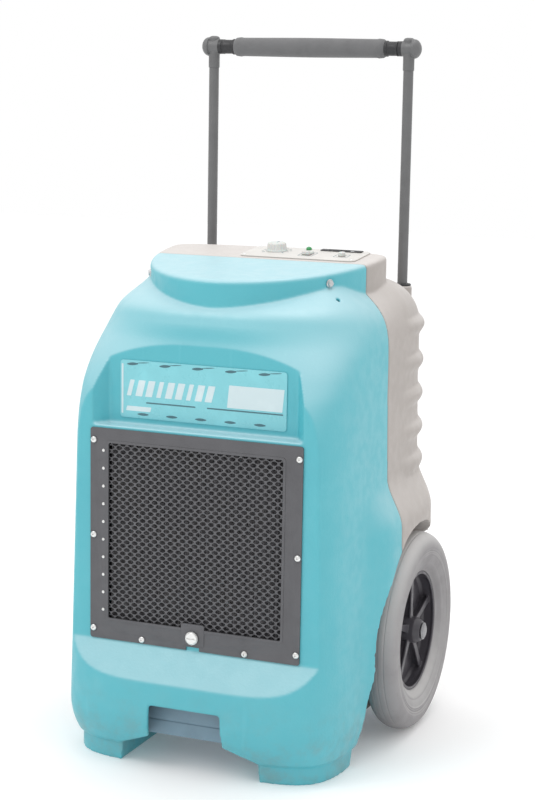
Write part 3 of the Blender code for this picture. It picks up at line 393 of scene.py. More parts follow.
def block(name, low, high, edge=0.0, segments=3):
    obj = prism(name, rectangle((low[0], high[0]), (low[1], high[1])), "Z", low[2], high[2])
    return bevelled(obj, edge, segments) if edge else obj


def join(name, objects):
    """Make one object of several, keeping their materials."""
    bm = bmesh.new()
    looks = []
    for obj in objects:
        own = [slot.material for slot in obj.material_slots] or [None]
        mesh = obj.data
        start = len(bm.faces)
        bm.from_mesh(mesh)
        bm.faces.ensure_lookup_table()
        for look in own:
            if look not in looks:
                looks.append(look)
        for face in bm.faces[start:]:
            face.material_index = looks.index(own[min(face.material_index, len(own) - 1)])
    mesh = bpy.data.meshes.new(name)
    bm.to_mesh(mesh)
    bm.free()
    for look in looks:
        mesh.materials.append(look)
    for obj in objects:
        bpy.data.objects.remove(obj, do_unlink=True)
    return mesh_object(name, mesh)


def coloured(obj, look):
    obj.data.materials.clear()
    obj.data.materials.append(look)
    return obj


def finish(obj, name, look, sharp):
    """Name, finish and shading of an object."""
    obj.name = name
    obj.data.name = name
    if look:
        coloured(obj, look)
    obj.data.shade_smooth()
    obj.data.set_sharp_from_angle(angle=radians(sharp))


def piece(obj, name, node, look=None, sharp=35):
    """Finish a piece that takes the place of a node and rides on its body."""
    finish(obj, name, look, sharp)
    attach(obj, NODE_BODY[node])
    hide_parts(node)


def fitting(obj, name, look=None):
    """Finish a small extra piece of the housing that stands for no node of its own."""
    finish(obj, name, look, 35)
    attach(obj, "housing")


def smooth_route(points, count):
    """Evenly spaced points on a smooth curve through the given ones."""
    given = [Vector(p) for p in points]
    ends = [2 * given[0] - given[1]] + given + [2 * given[-1] - given[-2]]
    dense = []
    for p0, p1, p2, p3 in zip(ends, ends[1:], ends[2:], ends[3:]):
        for k in range(24):
            t = k / 24
            dense.append(0.5 * ((2 * p1) + (p2 - p0) * t + (2 * p0 - 5 * p1 + 4 * p2 - p3) * t ** 2
                                + (3 * p1 - p0 - 3 * p2 + p3) * t ** 3))
    dense.append(given[-1])
    dense = np.array(dense)
    along = np.concatenate([[0], np.cumsum(np.linalg.norm(np.diff(dense, axis=0), axis=1))])
    spots = np.linspace(0, along[-1], count)
    return np.column_stack([np.interp(spots, along, dense[:, k]) for k in range(3)])


def tube(name, points, radius, count=60, sides=16):
    """Round bar along a smooth route."""
    route = smooth_route(points, count)
    tangents = np.gradient(route, axis=0)
    tangents /= np.linalg.norm(tangents, axis=1)[:, None]
    across = np.array(axis_frame(tangents[0])[0])
    rings = []
    for spot, forward in zip(route, tangents):
        across = across - forward * (across @ forward)
        across /= np.linalg.norm(across)
        up = np.cross(forward, across)
        turns = 2 * np.pi * np.arange(sides) / sides
        rings.append(spot + radius * (np.cos(turns)[:, None] * across + np.sin(turns)[:, None] * up))
    return loft(name, rings)


# ------------------------------------------------------------------ materials
class Look:
    """A material made of noise patterns in the piece's own coordinates."""

    def __init__(self, name, colour, roughness, metallic=0.0):
        self.material = bpy.data.materials.new(name)
        self.material.use_nodes = True
        self.material.diffuse_color = (*colour, 1)
        self.tree = self.material.node_tree
        self.shader = self.tree.nodes["Principled BSDF"]
        self.shader.inputs["Metallic"].default_value = metallic
        self.place = self.add("ShaderNodeTexCoord").outputs["Object"]
        self.colour = self.rgb(colour)
        self.roughness = roughness
        self.height = None

    def add(self, kind, **settings):
        node = self.tree.nodes.new(kind)
        for key, value in settings.items():
            setattr(node, key, value)
        return node

    def rgb(self, colour):
        node = self.add("ShaderNodeRGB")
        node.outputs[0].default_value = (*colour, 1)
        return node.outputs[0]

    def wire(self, socket, value):
        if hasattr(value, "is_linked"):
            self.tree.links.new(value, socket)
        else:
            socket.default_value = value

    def noise(self, scale, detail=4.0, rough=0.55, stretch=(1, 1, 1)):
        node = self.add("ShaderNodeTexNoise")
        node.inputs["Scale"].default_value = scale
        node.inputs["Detail"].default_value = detail
        node.inputs["Roughness"].default_value = rough
        place = self.place
        if stretch != (1, 1, 1):
            mapping = self.add("ShaderNodeMapping")
            mapping.inputs["Scale"].default_value = stretch
            self.wire(mapping.inputs["Vector"], place)
            place = mapping.outputs[0]
        self.wire(node.inputs["Vector"], place)
        return node.outputs["Fac"]

    def cells(self, scale, feature="F1"):
        node = self.add("ShaderNodeTexVoronoi", feature=feature)
        node.inputs["Scale"].default_value = scale
        self.wire(node.inputs["Vector"], self.place)
        return node.outputs["Distance"]

    def span(self, value, start, end, low=0.0, high=1.0):
        node = self.add("ShaderNodeMapRange", interpolation_type="SMOOTHSTEP")
        for key, number in (("From Min", start), ("From Max", end), ("To Min", low), ("To Max", high)):
            node.inputs[key].default_value = number
        self.wire(node.inputs["Value"], value)
        return node.outputs["Result"]

    def maths(self, operation, a, b=0.0):
        node = self.add("ShaderNodeMath", operation=operation)
        self.wire(node.inputs[0], a)
        self.wire(node.inputs[1], b)
        return node.outputs[0]

    def blend(self, amount, a, b):
        node = self.add("ShaderNodeMix", data_type="RGBA")
        self.wire(node.inputs["Factor"], amount)
        self.wire(node.inputs["A"], a)
        self.wire(node.inputs["B"], b)
        return node.outputs["Result"]

    def axis(self, letter):
        node = self.add("ShaderNodeSeparateXYZ")
        self.wire(node.inputs[0], self.place)
        return node.outputs[letter]

    def upward(self, start, full, amount):
        """How far a face looks up, from none at start to the given amount at full."""
        node = self.add("ShaderNodeSeparateXYZ")
        self.wire(node.inputs[0], self.add("ShaderNodeTexCoord").outputs["Normal"])
        return self.span(node.outputs["Z"], start, full, 0.0, amount)

    def tint(self, amount, colour):
        """Blend another colour in where amount is high."""
        self.colour = self.blend(amount, self.colour, self.rgb(colour))
        return self

    def stain(self, colour, amount, limits, *noise):
        """Blend another colour in by patches of noise, up to amount."""
        return self.tint(self.span(self.noise(*noise), *limits, 0.0, amount), colour)

    def vary(self, pattern, low, high):
        """Let roughness follow a pattern."""
        self.roughness = self.span(pattern, 0.3, 0.7, low, high)
        return self

    def bump(self, pattern, depth):
        """Add relief, depth in metres."""
        node = self.add("ShaderNodeBump")
        node.inputs["Strength"].default_value = 1.0
        node.inputs["Distance"].default_value = depth
        self.wire(node.inputs["Height"], pattern)
        if self.height is not None:
            self.wire(node.inputs["Normal"], self.height)
        self.height = node.outputs["Normal"]
        return self

    def set(self, **values):
        for key, value in values.items():
            self.shader.inputs[key.replace("_", " ")].default_value = value
        return self

    def done(self):
        self.wire(self.shader.inputs["Base Color"], self.colour)
        self.wire(self.shader.inputs["Roughness"], self.roughness)
        if self.height is not None:
            self.wire(self.shader.inputs["Normal"], self.height)
        return self.material


def moulded(name, colour, dark, pale, roughness, grime, painted_top_highlight, painted_top_highlight_amount):
    """Moulded plastic: orange peel, flow marks, scuffs, floor grime, and a painted highlight that makes faces
    looking up paler.
    """
    look = Look(name, colour, roughness)
    cloud = look.noise(9.0, 3.0)
    look.tint(look.span(cloud, 0.42, 0.80, 0.0, 0.35), dark)
    look.stain(pale, 0.30, (0.52, 0.85), 21.0, 5.0, 0.6)
    fleck = look.span(look.noise(900.0, 2.0), 0.62, 0.75, 0.0, 0.16)
    look.tint(fleck, dark)
    scratch = look.noise(70.0, 2.0, 0.5, (1.0, 1.0, 0.06))
    look.tint(look.span(scratch, 0.66, 0.74, 0.0, 0.16), pale)
    low = look.span(look.axis("Z"), 0.16, 0.0, 0.0, 1.0)
    dusty = look.maths("MULTIPLY", low, look.span(look.noise(26.0, 6.0, 0.65), 0.40, 0.75, 0.05, 0.60))
    look.tint(dusty, grime)
    # painted highlight: faces that look up are blended towards a paler colour, standing in for the overhead
    # light
    look.tint(look.upward(-0.05, 1.05, painted_top_highlight_amount), painted_top_highlight)
    look.vary(look.noise(55.0, 4.0), roughness - 0.06, roughness + 0.10)
    look.bump(look.noise(260.0, 2.0, 0.5), 0.00022)
    look.bump(look.noise(1400.0, 2.0, 0.6), 0.00006)
    look.set(Specular_IOR_Level=0.85)
    return look.done()


def coated_metal(name, colour, worn, roughness, metallic=0.0, grain=1100.0, chips=0.70):
    """Powder coat on metal: fine texture with a few worn chips."""
    look = Look(name, colour, roughness, metallic)
    look.stain(tuple(0.6 * c for c in colour), 0.30, (0.40, 0.80), 30.0, 4.0)
    look.stain(worn, 0.75, (chips, chips + 0.06), 160.0, 6.0, 0.7)
    look.vary(look.noise(80.0), roughness - 0.08, roughness + 0.10)
    look.bump(look.noise(grain, 3.0, 0.6), 0.00012)
    return look.done()


def bare_metal(name, colour, roughness, stretch=(1, 1, 1), dull=(0.35, 0.33, 0.30)):
    """Drawn, turned or plated metal with fine scratches and a little tarnish."""
    look = Look(name, colour, roughness, 1.0)
    look.stain(dull, 0.45, (0.50, 0.85), 45.0, 5.0)
    brush = look.noise(600.0, 4.0, 0.6, stretch)
    look.vary(brush, roughness - 0.08, roughness + 0.16)
    look.bump(brush, 0.00003)
    return look.done()


def hard_plastic(name, colour, roughness, grain=700.0, **extra):
    """Injection-moulded plastic with a fine spark-eroded texture."""
    look = Look(name, colour, roughness)
    look.stain(tuple(min(1, 1.5 * c + 0.02) for c in colour), 0.25, (0.45, 0.85), 24.0, 4.0)
    look.vary(look.noise(60.0), roughness - 0.06, roughness + 0.10)
    look.bump(look.noise(grain, 3.0, 0.6), 0.00007)
    look.set(**extra)
    return look.done()


def tyre_rubber():
    look = Look("tyre_rubber", (0.290, 0.280, 0.285), 0.72)
    look.stain((0.22, 0.21, 0.215), 0.55, (0.40, 0.75), 14.0, 5.0)
    look.stain((0.20, 0.19, 0.19), 0.35, (0.55, 0.75), 120.0, 6.0, 0.7)
    # painted highlight: faces that look up are painted paler, as the overhead light falls on them
    look.tint(look.upward(-0.2, 0.9, 0.75), (0.60, 0.59, 0.58))
    look.vary(look.noise(50.0), 0.62, 0.85)
    look.bump(look.noise(500.0, 4.0, 0.6), 0.00018)
    return look.done()


def foam():
    look = Look("grip_foam", (0.155, 0.155, 0.158), 0.9)
    look.stain((0.11, 0.11, 0.112), 0.4, (0.40, 0.80), 40.0, 4.0)
    pores = look.cells(900.0)
    look.tint(look.span(pores, 0.10, 0.30, 0.35, 0.0), (0.05, 0.05, 0.05))
    look.vary(look.noise(90.0), 0.82, 0.95)
    look.bump(pores, 0.00025)
    look.set(Sheen_Weight=0.15, Sheen_Roughness=0.5)
    return look.done()


def fibre():
    look = Look("filter_fibre", (0.120, 0.117, 0.126), 0.95)
    threads = look.noise(1200.0, 6.0, 0.8, (1.0, 1.0, 0.25))
    look.tint(look.span(threads, 0.45, 0.70, 0.0, 0.6), (0.170, 0.165, 0.172))
    look.stain((0.140, 0.132, 0.128), 0.5, (0.42, 0.75), 18.0, 5.0)
    look.vary(threads, 0.85, 1.0)
    look.bump(threads, 0.0004)
    return look.done()


def enamel():
    look = Look("compressor_enamel", (0.018, 0.018, 0.020), 0.3)
    look.stain((0.05, 0.05, 0.052), 0.4, (0.50, 0.85), 22.0, 5.0)
    look.vary(look.noise(40.0), 0.22, 0.42)
    look.bump(look.noise(320.0, 3.0), 0.00010)
    look.set(Coat_Weight=0.4, Coat_Roughness=0.15)
    return look.done()


def lens(name, colour, glow):
    look = Look(name, colour, 0.12)
    facets = look.cells(1400.0)
    look.tint(look.span(facets, 0.1, 0.5, 0.0, 0.4), tuple(0.5 * c for c in colour))
    look.vary(facets, 0.08, 0.2)
    look.bump(facets, 0.00012)
    look.set(Transmission_Weight=0.35, IOR=1.49, Emission_Color=(*colour, 1), Emission_Strength=glow)
    return look.done()


TEAL = moulded("teal_moulding", (0.068, 0.430, 0.502), (0.045, 0.38, 0.46), (0.13, 0.51, 0.58), 0.42,
               (0.16, 0.24, 0.24), (0.78, 0.87, 0.91), 0.46)
SAND = moulded("sand_moulding", (0.370, 0.333, 0.309), (0.29, 0.262, 0.243), (0.47, 0.432, 0.404), 0.46,
               (0.24, 0.21, 0.18), (0.82, 0.78, 0.75), 0.55)
GRAPHITE = coated_metal("graphite_coat", (0.100, 0.100, 0.108), (0.34, 0.33, 0.33), 0.48)
POWDER = coated_metal("handle_coat", (0.140, 0.140, 0.142), (0.38, 0.38, 0.38), 0.42, 0.0, 900.0, 0.72)
CHASSIS = coated_metal("chassis_coat", (0.200, 0.310, 0.390), (0.36, 0.37, 0.38), 0.45, 0.0, 700.0)
ZINC = bare_metal("zinc_plate", (0.78, 0.78, 0.77), 0.34)
DULL_ZINC = bare_metal("dull_zinc", (0.27, 0.27, 0.28), 0.36)
STEEL = bare_metal("drawn_steel", (0.56, 0.57, 0.58), 0.30, (1.0, 1.0, 0.05))
ALUMINIUM = bare_metal("fin_aluminium", (0.80, 0.81, 0.82), 0.38, (1.0, 1.0, 0.1), (0.55, 0.54, 0.50))
COPPER = bare_metal("copper", (0.80, 0.42, 0.26), 0.26, (1, 1, 1), (0.32, 0.17, 0.11))
BRASS = bare_metal("brass", (0.76, 0.60, 0.28), 0.30, (1, 1, 1), (0.40, 0.30, 0.14))
BLACK = hard_plastic("black_plastic", (0.024, 0.024, 0.026), 0.45)
RIM_PLASTIC = hard_plastic("rim_plastic", (0.058, 0.054, 0.064), 0.38, 500.0)
PANEL = hard_plastic("panel_plastic", (0.66, 0.64, 0.61), 0.42)
PALE = hard_plastic("pale_plastic", (0.62, 0.64, 0.62), 0.40, 700.0, Subsurface_Weight=0.1)
WHITE_INK = hard_plastic("white_ink", (0.80, 0.82, 0.82), 0.35, 1500.0)
PALE_INK = hard_plastic("pale_ink", (0.58, 0.70, 0.73), 0.38, 1500.0)
DARK_INK = hard_plastic("dark_ink", (0.060, 0.150, 0.180), 0.38, 1500.0)
FILM = hard_plastic("plate_film", (0.21, 0.57, 0.63), 0.30, 1800.0, Coat_Weight=0.2)
TYRE = tyre_rubber()
FOAM = foam()
FIBRE = fibre()
ENAMEL = enamel()
LAMP = lens("green_lens", (0.08, 0.46, 0.16), 0.05)


# ------------------------------------------------------------------ housing
def smoothstep(low, high, value):
    t = np.clip((value - low) / (high - low), 0.0, 1.0)
    return t * t * (3 - 2 * t)


def through(knots, value):
    """Smooth curve through (position, size) knots, level outside them."""
    spots, sizes = zip(*knots)
    if value <= spots[0]:
        return sizes[0]
    if value >= spots[-1]:
        return sizes[-1]
    slopes = np.diff(sizes) / np.diff(spots)
    k = int(np.searchsorted(spots, value)) - 1
    enter = 0.5 * (slopes[k - 1] + slopes[k]) if k else 0.0
    leave = 0.5 * (slopes[k] + slopes[k + 1]) if k + 1 < len(slopes) else slopes[k]
    width = spots[k + 1] - spots[k]
    t = (value - spots[k]) / width
    return (sizes[k] * (1 + 2 * t) * (1 - t) ** 2 + sizes[k + 1] * (3 - 2 * t) * t * t
            + width * (enter * t * (1 - t) ** 2 - leave * t * t * (1 - t)))


def rounding(value, start, end, powers):
    """1 at start falling to 0 at end along a rounded shoulder."""
    t = min(max((value - start) / (end - start), 0.0), 1.0)
    return max(1 - t ** powers[0], 0.0) ** (1 / powers[1])


def superellipse(half, front, rear, widest, squareness, count):
    """Outline with its own squareness at the front and at the rear, evenly spaced."""
    turn = np.linspace(0, 2 * np.pi, 1440, endpoint=False) - np.pi / 2
    c = np.cos(turn)
    s = np.sin(turn)
    power = np.where(s < 0, 2 / squareness[0], 2 / squareness[1])
    depth = np.where(s < 0, widest - front, rear - widest)
    x = half * np.sign(c) * np.abs(c) ** power
    y = widest + depth * np.sign(s) * np.abs(s) ** power
    closed = np.column_stack([np.append(x, x[0]), np.append(y, y[0])])
    along = np.concatenate([[0], np.cumsum(np.hypot(*np.diff(closed, axis=0).T))])
    spots = np.linspace(0, along[-1], count, endpoint=False)
    return np.column_stack([np.interp(spots, along, closed[:, k]) for k in (0, 1)])


def tuck(z):
    """How far the lower edge of the body is drawn in."""
    amount = SKIRT_TUCK * (max(SKIRT_Z - z, 0.0) / (SKIRT_Z - BODY_BOTTOM_Z)) ** 2
    return min(amount, SKIRT_TUCK)


def flare(y, z):
    rise = smoothstep(FLARE_Z[0], FLARE_Z[1], z) * (1 - smoothstep(FLARE_Z[2], FLARE_Z[3], z))
    return FLARE * rise * smoothstep(FLARE_Y[0], FLARE_Y[1], y)


def rib(y, z):
    offsets = [abs(z - height) / RIB_HALF_HEIGHT for height in RIB_HEIGHTS]
    depth = RIB_DEPTH * cos(min(min(offsets), 1.0) * pi / 2)
    return depth * smoothstep(RIB_FADE_Y[0], RIB_FADE_Y[1], y)


def body_ring(z, inset=0.0, ribs=False, count=RING_POINTS):
    """Outline of the body at one height, drawn in by inset."""
    side = rounding(z, SHOULDER_Z, SHOULDER_TOP_Z, SHOULDER_POWERS)
    half = SHOULDER_HALF + (BODY_HALF - SHOULDER_HALF) * side + BODY_DRAFT * max(SHOULDER_Z - z, 0.0)
    front = through(BROW, z) - FRONT_DRAFT * max(BROW[0][0] - z, 0.0)
    corner = smoothstep(*SQUARENESS_Z, z)
    squareness = FRONT_SQUARENESS + (SHOULDER_SQUARENESS - FRONT_SQUARENESS) * corner
    over = rounding(z, REAR_ROUND_Z, SHOULDER_TOP_Z, (2, 2))
    rear = REAR_CROWN_Y + (REAR_Y - REAR_CROWN_Y) * over
    wide = SHOULDER_HALF + (BODY_HALF - SHOULDER_HALF) * over
    draw = inset + tuck(z)
    ring = superellipse(half - inset - tuck(z) / 2, front + draw, rear - draw, WIDEST_Y,
                        (squareness, REAR_SQUARENESS), count)
    x, y = ring.T
    bulge = flare(y, z) * smoothstep(0.15, 0.20, np.abs(x))
    radial = rib(y, z) / np.hypot(x, y) if ribs else np.zeros(len(x))
    spread = 1 + max(wide / half - 1, 0.0) * smoothstep(*REAR_WIDEN_Y, y) + radial
    return np.column_stack([x * spread + np.sign(x) * bulge, y * (1 + radial), np.full(len(x), z)])


def neck_top(y):
    return NECK_TOP_FRONT_Z + NECK_TOP_SLOPE * (y - NECK_FRONT_Y)


def neck_ring(z, inset, below_top=None, count=RING_POINTS):
    ring = superellipse(NECK_HALF - inset, NECK_FRONT_Y + inset, NECK_REAR_Y - inset,
                        NECK_WIDEST_Y, NECK_SQUARENESS, count)
    heights = np.full(len(ring), z) if below_top is None else neck_top(ring[:, 1]) - below_top
    return np.column_stack([ring, heights])


def at_height(ring, z):
    return np.column_stack([ring[:, :2], np.full(len(ring), z)])


def shoulder_heights(count):
    """Heights that crowd together where the shoulder turns in."""
    start = BROW[0][0]
    reach = SHOULDER_TOP_Z - start
    return [start + reach * sin(pi / 2 * k / count) for k in range(1, count + 1)]


def neck(inset, count=RING_POINTS):
    """The neck from inside the shoulder up to its sloping top, with a rounded edge."""
    rings = [neck_ring(NECK_ROOT_Z - inset, inset, None, count)]
    for k in range(6):
        turn = pi / 2 * k / 5
        drawn = inset + NECK_EDGE * (1 - cos(turn))
        rings.append(neck_ring(0, drawn, inset + NECK_EDGE * (1 - sin(turn)), count))
    return loft("neck", rings)


def outer_shape(name, ribs):
    """The whole closed outside of the housing: feet, body, shoulder and neck."""
    foot = body_ring(0.0, FOOT_STEP)
    rings = [foot, at_height(foot, BODY_BOTTOM_Z - 0.004)]
    heights = list(np.arange(BODY_BOTTOM_Z, BROW[0][0], RING_STEP))
    heights += [BROW[0][0]] + shoulder_heights(60)
    rings += [body_ring(z, 0.0, ribs) for z in heights]
    return combine(loft(name, rings), [neck(0.0)], "UNION")


def well_outline(grow):
    """Side view of a wheel well: an arch open below and behind."""
    points = []
    radius = WELL_RADIUS + grow
    for k in range(49):
        turn = radians(190 - 180 * k / 48)
        points.append((WHEEL.y + radius * cos(turn), WHEEL.z + radius * sin(turn)))
    return points + [(OUTSIDE, WHEEL.z), (OUTSIDE, UNDERFOOT), (WELL_FRONT_Y - grow, UNDERFOOT)]


def wheel_well(side, grow):
    low, high = sorted((side * (WELL_X - grow), side * OUTSIDE))
    return prism("well", well_outline(grow), "X", low, high)


def front_flat(grow):
    """Everything ahead of the flat front panel, down to the slanted skirt."""
    lip_y, lip_z = SKIRT_LIP
    slope = (PANEL_BOTTOM_Z - lip_z) / (PANEL_Y - lip_y)
    outline = [(PANEL_Y + grow, PANEL_BOTTOM_Z - grow),
               (-OUTSIDE, PANEL_BOTTOM_Z - grow + slope * (-OUTSIDE - PANEL_Y - grow)),
               (-OUTSIDE, OVERHEAD), (PANEL_Y + grow, OVERHEAD)]
    return prism("front_flat", outline, "X", -AHEAD, AHEAD)


def plate_recess(grow):
    """Recess for the name plate, its side walls splayed towards the front."""
    slope = (PLATE_MOUTH_HALF - PLATE_FLOOR_HALF) / (PLATE_FLOOR_Y - PANEL_Y)
    mouth = PLATE_FLOOR_HALF + slope * (PLATE_FLOOR_Y + AHEAD) + grow
    floor = PLATE_FLOOR_HALF + grow
    outline = [(-mouth, -AHEAD), (mouth, -AHEAD),
               (floor, PLATE_FLOOR_Y + grow), (-floor, PLATE_FLOOR_Y + grow)]
    return prism("plate_recess", outline, "Z", PLATE_LEDGE_Z - grow, OVERHEAD)


def cavity():
    """The hollow inside the housing."""
    count = 96
    rings = []
    for z in (0.044, 0.060, SKIRT_Z, 0.12, 0.16, 0.25, 0.345, 0.37, 0.40, 0.42, BROW[0][0]):
        rings.append(body_ring(z, WALL, False, count))
    for z in shoulder_heights(12):
        rings.append(at_height(body_ring(z, WALL, False, count), z - WALL))
    hollow = combine(loft("cavity", rings), [neck(WALL, count)], "UNION")
    others = [wheel_well(side, WALL) for side in (-1, 1)]
    return combine(hollow, others + [front_flat(WALL), plate_recess(WALL)])


def bolt_place(side):
    """Seat and outward direction of a neck bolt."""
    turn = radians(BOLT_ANGLE)
    n = NECK_SQUARENESS[0]
    depth = NECK_WIDEST_Y - NECK_FRONT_Y
    x = NECK_HALF * cos(turn) ** (2 / n)
    y = NECK_WIDEST_Y - depth * sin(turn) ** (2 / n)
    slope_x = x ** (n - 1) / NECK_HALF ** n
    slope_y = abs(y - NECK_WIDEST_Y) ** (n - 1) / depth ** n
    return Vector((side * x, y, BOLT_Z)), Vector((side * slope_x, -slope_y, 0)).normalized()


def axle_hole():
    return rod("axle_hole", (-AHEAD, WHEEL.y, WHEEL.z), (AHEAD, WHEEL.y, WHEEL.z), AXLE_BORE, 32)


def undercut():
    return block("undercut", (-OUTSIDE, FOOT_REAR_Y, UNDERFOOT), (OUTSIDE, OUTSIDE, UNDERCUT_Z))


def make_front_housing():
    shell = outer_shape("front_shell", False)
    notch = [(-u, v) for u, v in NOTCH] + [(u, v) for u, v in reversed(NOTCH)]
    cutters = [block("behind", (-0.4, SEAM_Y - GAP, -0.1), (0.4, 0.4, 0.9)), front_flat(0.0),
               plate_recess(0.0), wheel_well(-1, 0.0), wheel_well(1, 0.0), undercut(),
               prism("foot_notch", notch, "Y", -0.35, FOOT_REAR_Y + 0.01)]
    for side in (-1, 1):
        seat, outward = bolt_place(side)
        cutters.append(rod("pocket", seat - outward * 0.0016, seat + outward * 0.03, 0.0090, 32))
        dimple = seat + outward * 0.012 - Vector((0, 0, 0.030))
        cutters.append(rod("dimple", dimple, dimple + (outward + Vector((0, 0, 1))) * 0.03, 0.0035, 24))
    combine(shell, cutters)
    soften(shell, SKIN_VOXEL, 3, SHELL_TRIANGLES)
    intake = round_rectangle((-INTAKE_HALF, INTAKE_HALF), INTAKE_Z, 0.004)
    holes = [cavity(), axle_hole(), prism("intake", intake, "Y", -AHEAD, -0.200)]
    for side in (-1, 1):
        seat, outward = bolt_place(side)
        holes.append(rod("bolt_hole", seat - outward * 0.020, seat + outward * 0.006, 0.0038, 24))
    combine(shell, holes)
    piece(shell, "front_shell", "front_housing", TEAL, 50)


def make_rear_housing():
    shell = outer_shape("rear_shell", True)
    seats = []
    for side in (-1, 1):
        x = side * LEG.x
        low, high = (x, LEG.y, BUSH_SEAT_Z - 0.03), (x, LEG.y, BUSH_SEAT_Z)
        seats.append(rod("seat", low, high, BUSH_RADIUS + 0.004, 48))
    combine(shell, seats, "UNION")
    combine(shell, [block("ahead", (-0.4, -0.4, -0.1), (0.4, SEAM_Y, 0.9)), wheel_well(-1, 0.0),
                    wheel_well(1, 0.0), undercut()])
    soften(shell, SKIN_VOXEL, 3, SHELL_TRIANGLES)
    exhaust = round_rectangle((-0.122, 0.122), (0.278, 0.522), 0.012)
    holes = [cavity(), axle_hole(), prism("exhaust", exhaust, "Y", 0.20, 0.30)]
    for side in (-1, 1):
        x = side * LEG.x
        holes.append(rod("bush_hole", (x, LEG.y, 0.60), (x, LEG.y, 0.75), BUSH_RADIUS + GAP, 32))
        x = side * REAR_FITTING_X
        holes.append(rod("fitting_hole", (x, 0.20, REAR_FITTING_Z), (x, 0.30, REAR_FITTING_Z), 0.0125, 32))
    combine(shell, holes)
    piece(shell, "rear_shell", "rear_housing", SAND, 50)


def copies(name, count):
    return [name + "_%d" % (k + 1) for k in range(count)]


# ------------------------------------------------------------------ intake grille
def make_grille_frame():
    low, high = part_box("grille_frame")
    frame = prism("frame", box_outline(low, high, "xz", 0, 0.004), "Y", low.y, high.y)
    window = round_rectangle((-WINDOW_HALF, WINDOW_HALF), WINDOW_Z, 0.003)
    finger_notch = [(-0.0115, low.z - 0.01), (0.0115, low.z - 0.01),
                    (0.0105, low.z + 0.0055), (-0.0105, low.z + 0.0055)]
    lip = prism("lip", round_rectangle((-0.143, 0.143), (0.212, 0.487), 0.006), "Y", low.y - 0.0007, high.y)
    latch = middle("grille_latch_knob")
    tab = prism("tab", round_rectangle((-0.0185, 0.0185), (latch.z - 0.0125, latch.z + 0.0205), 0.003), "Y",
                low.y - 0.0012, high.y)
    combine(frame, [lip], "UNION")
    combine(frame, [prism("window", window, "Y", -0.30, -0.20),
                    prism("finger_notch", finger_notch, "Y", -0.3, -0.2)])
    combine(frame, [tab], "UNION")
    holes = [rod("hole", (latch.x, -0.3, latch.z), (latch.x, -0.2, latch.z), 0.0045)]
    seat = [(0, -0.02), (0.0024, -0.02), (0.0024, 0.0), (0.0058, 0.0), (0.0062, 0.01), (0, 0.01)]
    for name in copies("grille_screw", 8):
        spot = middle(name)
        holes.append(turned("seat", seat, (spot.x, low.y + 0.0002, spot.z), (0, -1, 0), 32))
    combine(frame, holes)
    bevelled(frame, 0.0005, 2, 40)
    piece(frame, "intake_frame", "grille_frame", GRAPHITE)


def make_expanded_mesh():
    """Expanded steel: a staggered lattice of strands, each with a raised ridge."""
    low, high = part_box("grille_mesh")
    pitch_x, pitch_z = MESH_PITCH
    hole_x, hole_z = MESH_HOLE[0] * pitch_x, MESH_HOLE[1] * pitch_z
    columns = int((high.x - low.x) / pitch_x) - 1
    rows = int(2 * (high.z - low.z) / pitch_z) - 2
    centre = middle("grille_mesh")
    strand = [(0.5, 0), (0.25, 0.25), (0, 0.5), (-0.25, 0.25),
              (-0.5, 0), (-0.25, -0.25), (0, -0.5), (0.25, -0.25)]
    rim = [(1, 0), (0.62, 0.80), (0, 1), (-0.62, 0.80), (-1, 0), (-0.62, -0.80), (0, -1), (0.62, -0.80)]
    bm = bmesh.new()
    known = {}

    def corner(x, y, z):
        key = (round(x, 6), round(y, 5), round(z, 6))
        if key not in known:
            known[key] = bm.verts.new((x, y, z))
        return known[key]

    thick = high.y - low.y
    for j in range(rows + 1):
        for i in range(columns + 1 - j % 2):
            cx = centre.x + (i - columns / 2 + 0.5 * (j % 2)) * pitch_x
            cz = centre.z + (j - rows / 2) * pitch_z / 2
            front_outer = [corner(cx + u * pitch_x, low.y, cz + v * pitch_z) for u, v in strand]
            back_outer = [corner(cx + u * pitch_x, high.y, cz + v * pitch_z) for u, v in strand]
            front_inner = []
            for u, v in rim:
                ridge = low.y + 0.00045 + 0.00025 * v
                front_inner.append(bm.verts.new((cx + u * hole_x, ridge, cz + v * hole_z)))
            back_y = low.y + thick - 0.0002
            back_inner = [bm.verts.new((cx + u * hole_x, back_y, cz + v * hole_z)) for u, v in rim]
            for a in range(8):
                b = (a + 1) % 8
                bm.faces.new((front_outer[a], front_outer[b], front_inner[b], front_inner[a]))
                bm.faces.new((back_outer[b], back_outer[a], back_inner[a], back_inner[b]))
                bm.faces.new((front_inner[a], front_inner[b], back_inner[b], back_inner[a]))
    for edge in [e for e in bm.edges if e.is_boundary]:
        ends = [v.co for v in edge.verts]
        if all(abs(p.y - low.y) < 1e-6 for p in ends):
            bm.faces.new((edge.verts[0], edge.verts[1], corner(ends[1].x, high.y, ends[1].z),
                          corner(ends[0].x, high.y, ends[0].z)))
    piece(from_bmesh("mesh", bm), "expanded_mesh", "grille_mesh", GRAPHITE, 50)


def make_mesh_rivets():
    """A column of small rivets that holds the expanded mesh at its left edge."""
    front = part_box("grille_frame")[0].y
    rivets = []
    count = 10
    for k in range(count):
        z = WINDOW_Z[0] + 0.012 + k * (WINDOW_Z[1] - WINDOW_Z[0] - 0.024) / (count - 1)
        head = [(0, 0), (0.0024, 0), (0.0022, 0.0006), (0.0012, 0.0011), (0, 0.0012)]
        rivets.append(turned("rivet", head, (-WINDOW_HALF - 0.0085, front, z), (0, -1, 0), 24, 0.0003, 2))
    fitting(join("mesh_rivets", rivets), "mesh_rivets", ZINC)


def cross_recess(spot, axis, reach, width, depth):
    """Cutting shape of a cross-head recess."""
    across, up, along = axis_frame(axis)
    parts = []
    for first, second in ((across, up), (up, across)):
        rings = []
        for lift, share in ((-depth, 0.35), (0.004, 1.9)):
            u = first * reach * share
            v = second * width
            base = Vector(spot) + along * lift
            rings.append([base - u - v, base + u - v, base + u + v, base - u + v])
        parts.append(loft("recess", rings))
    return parts


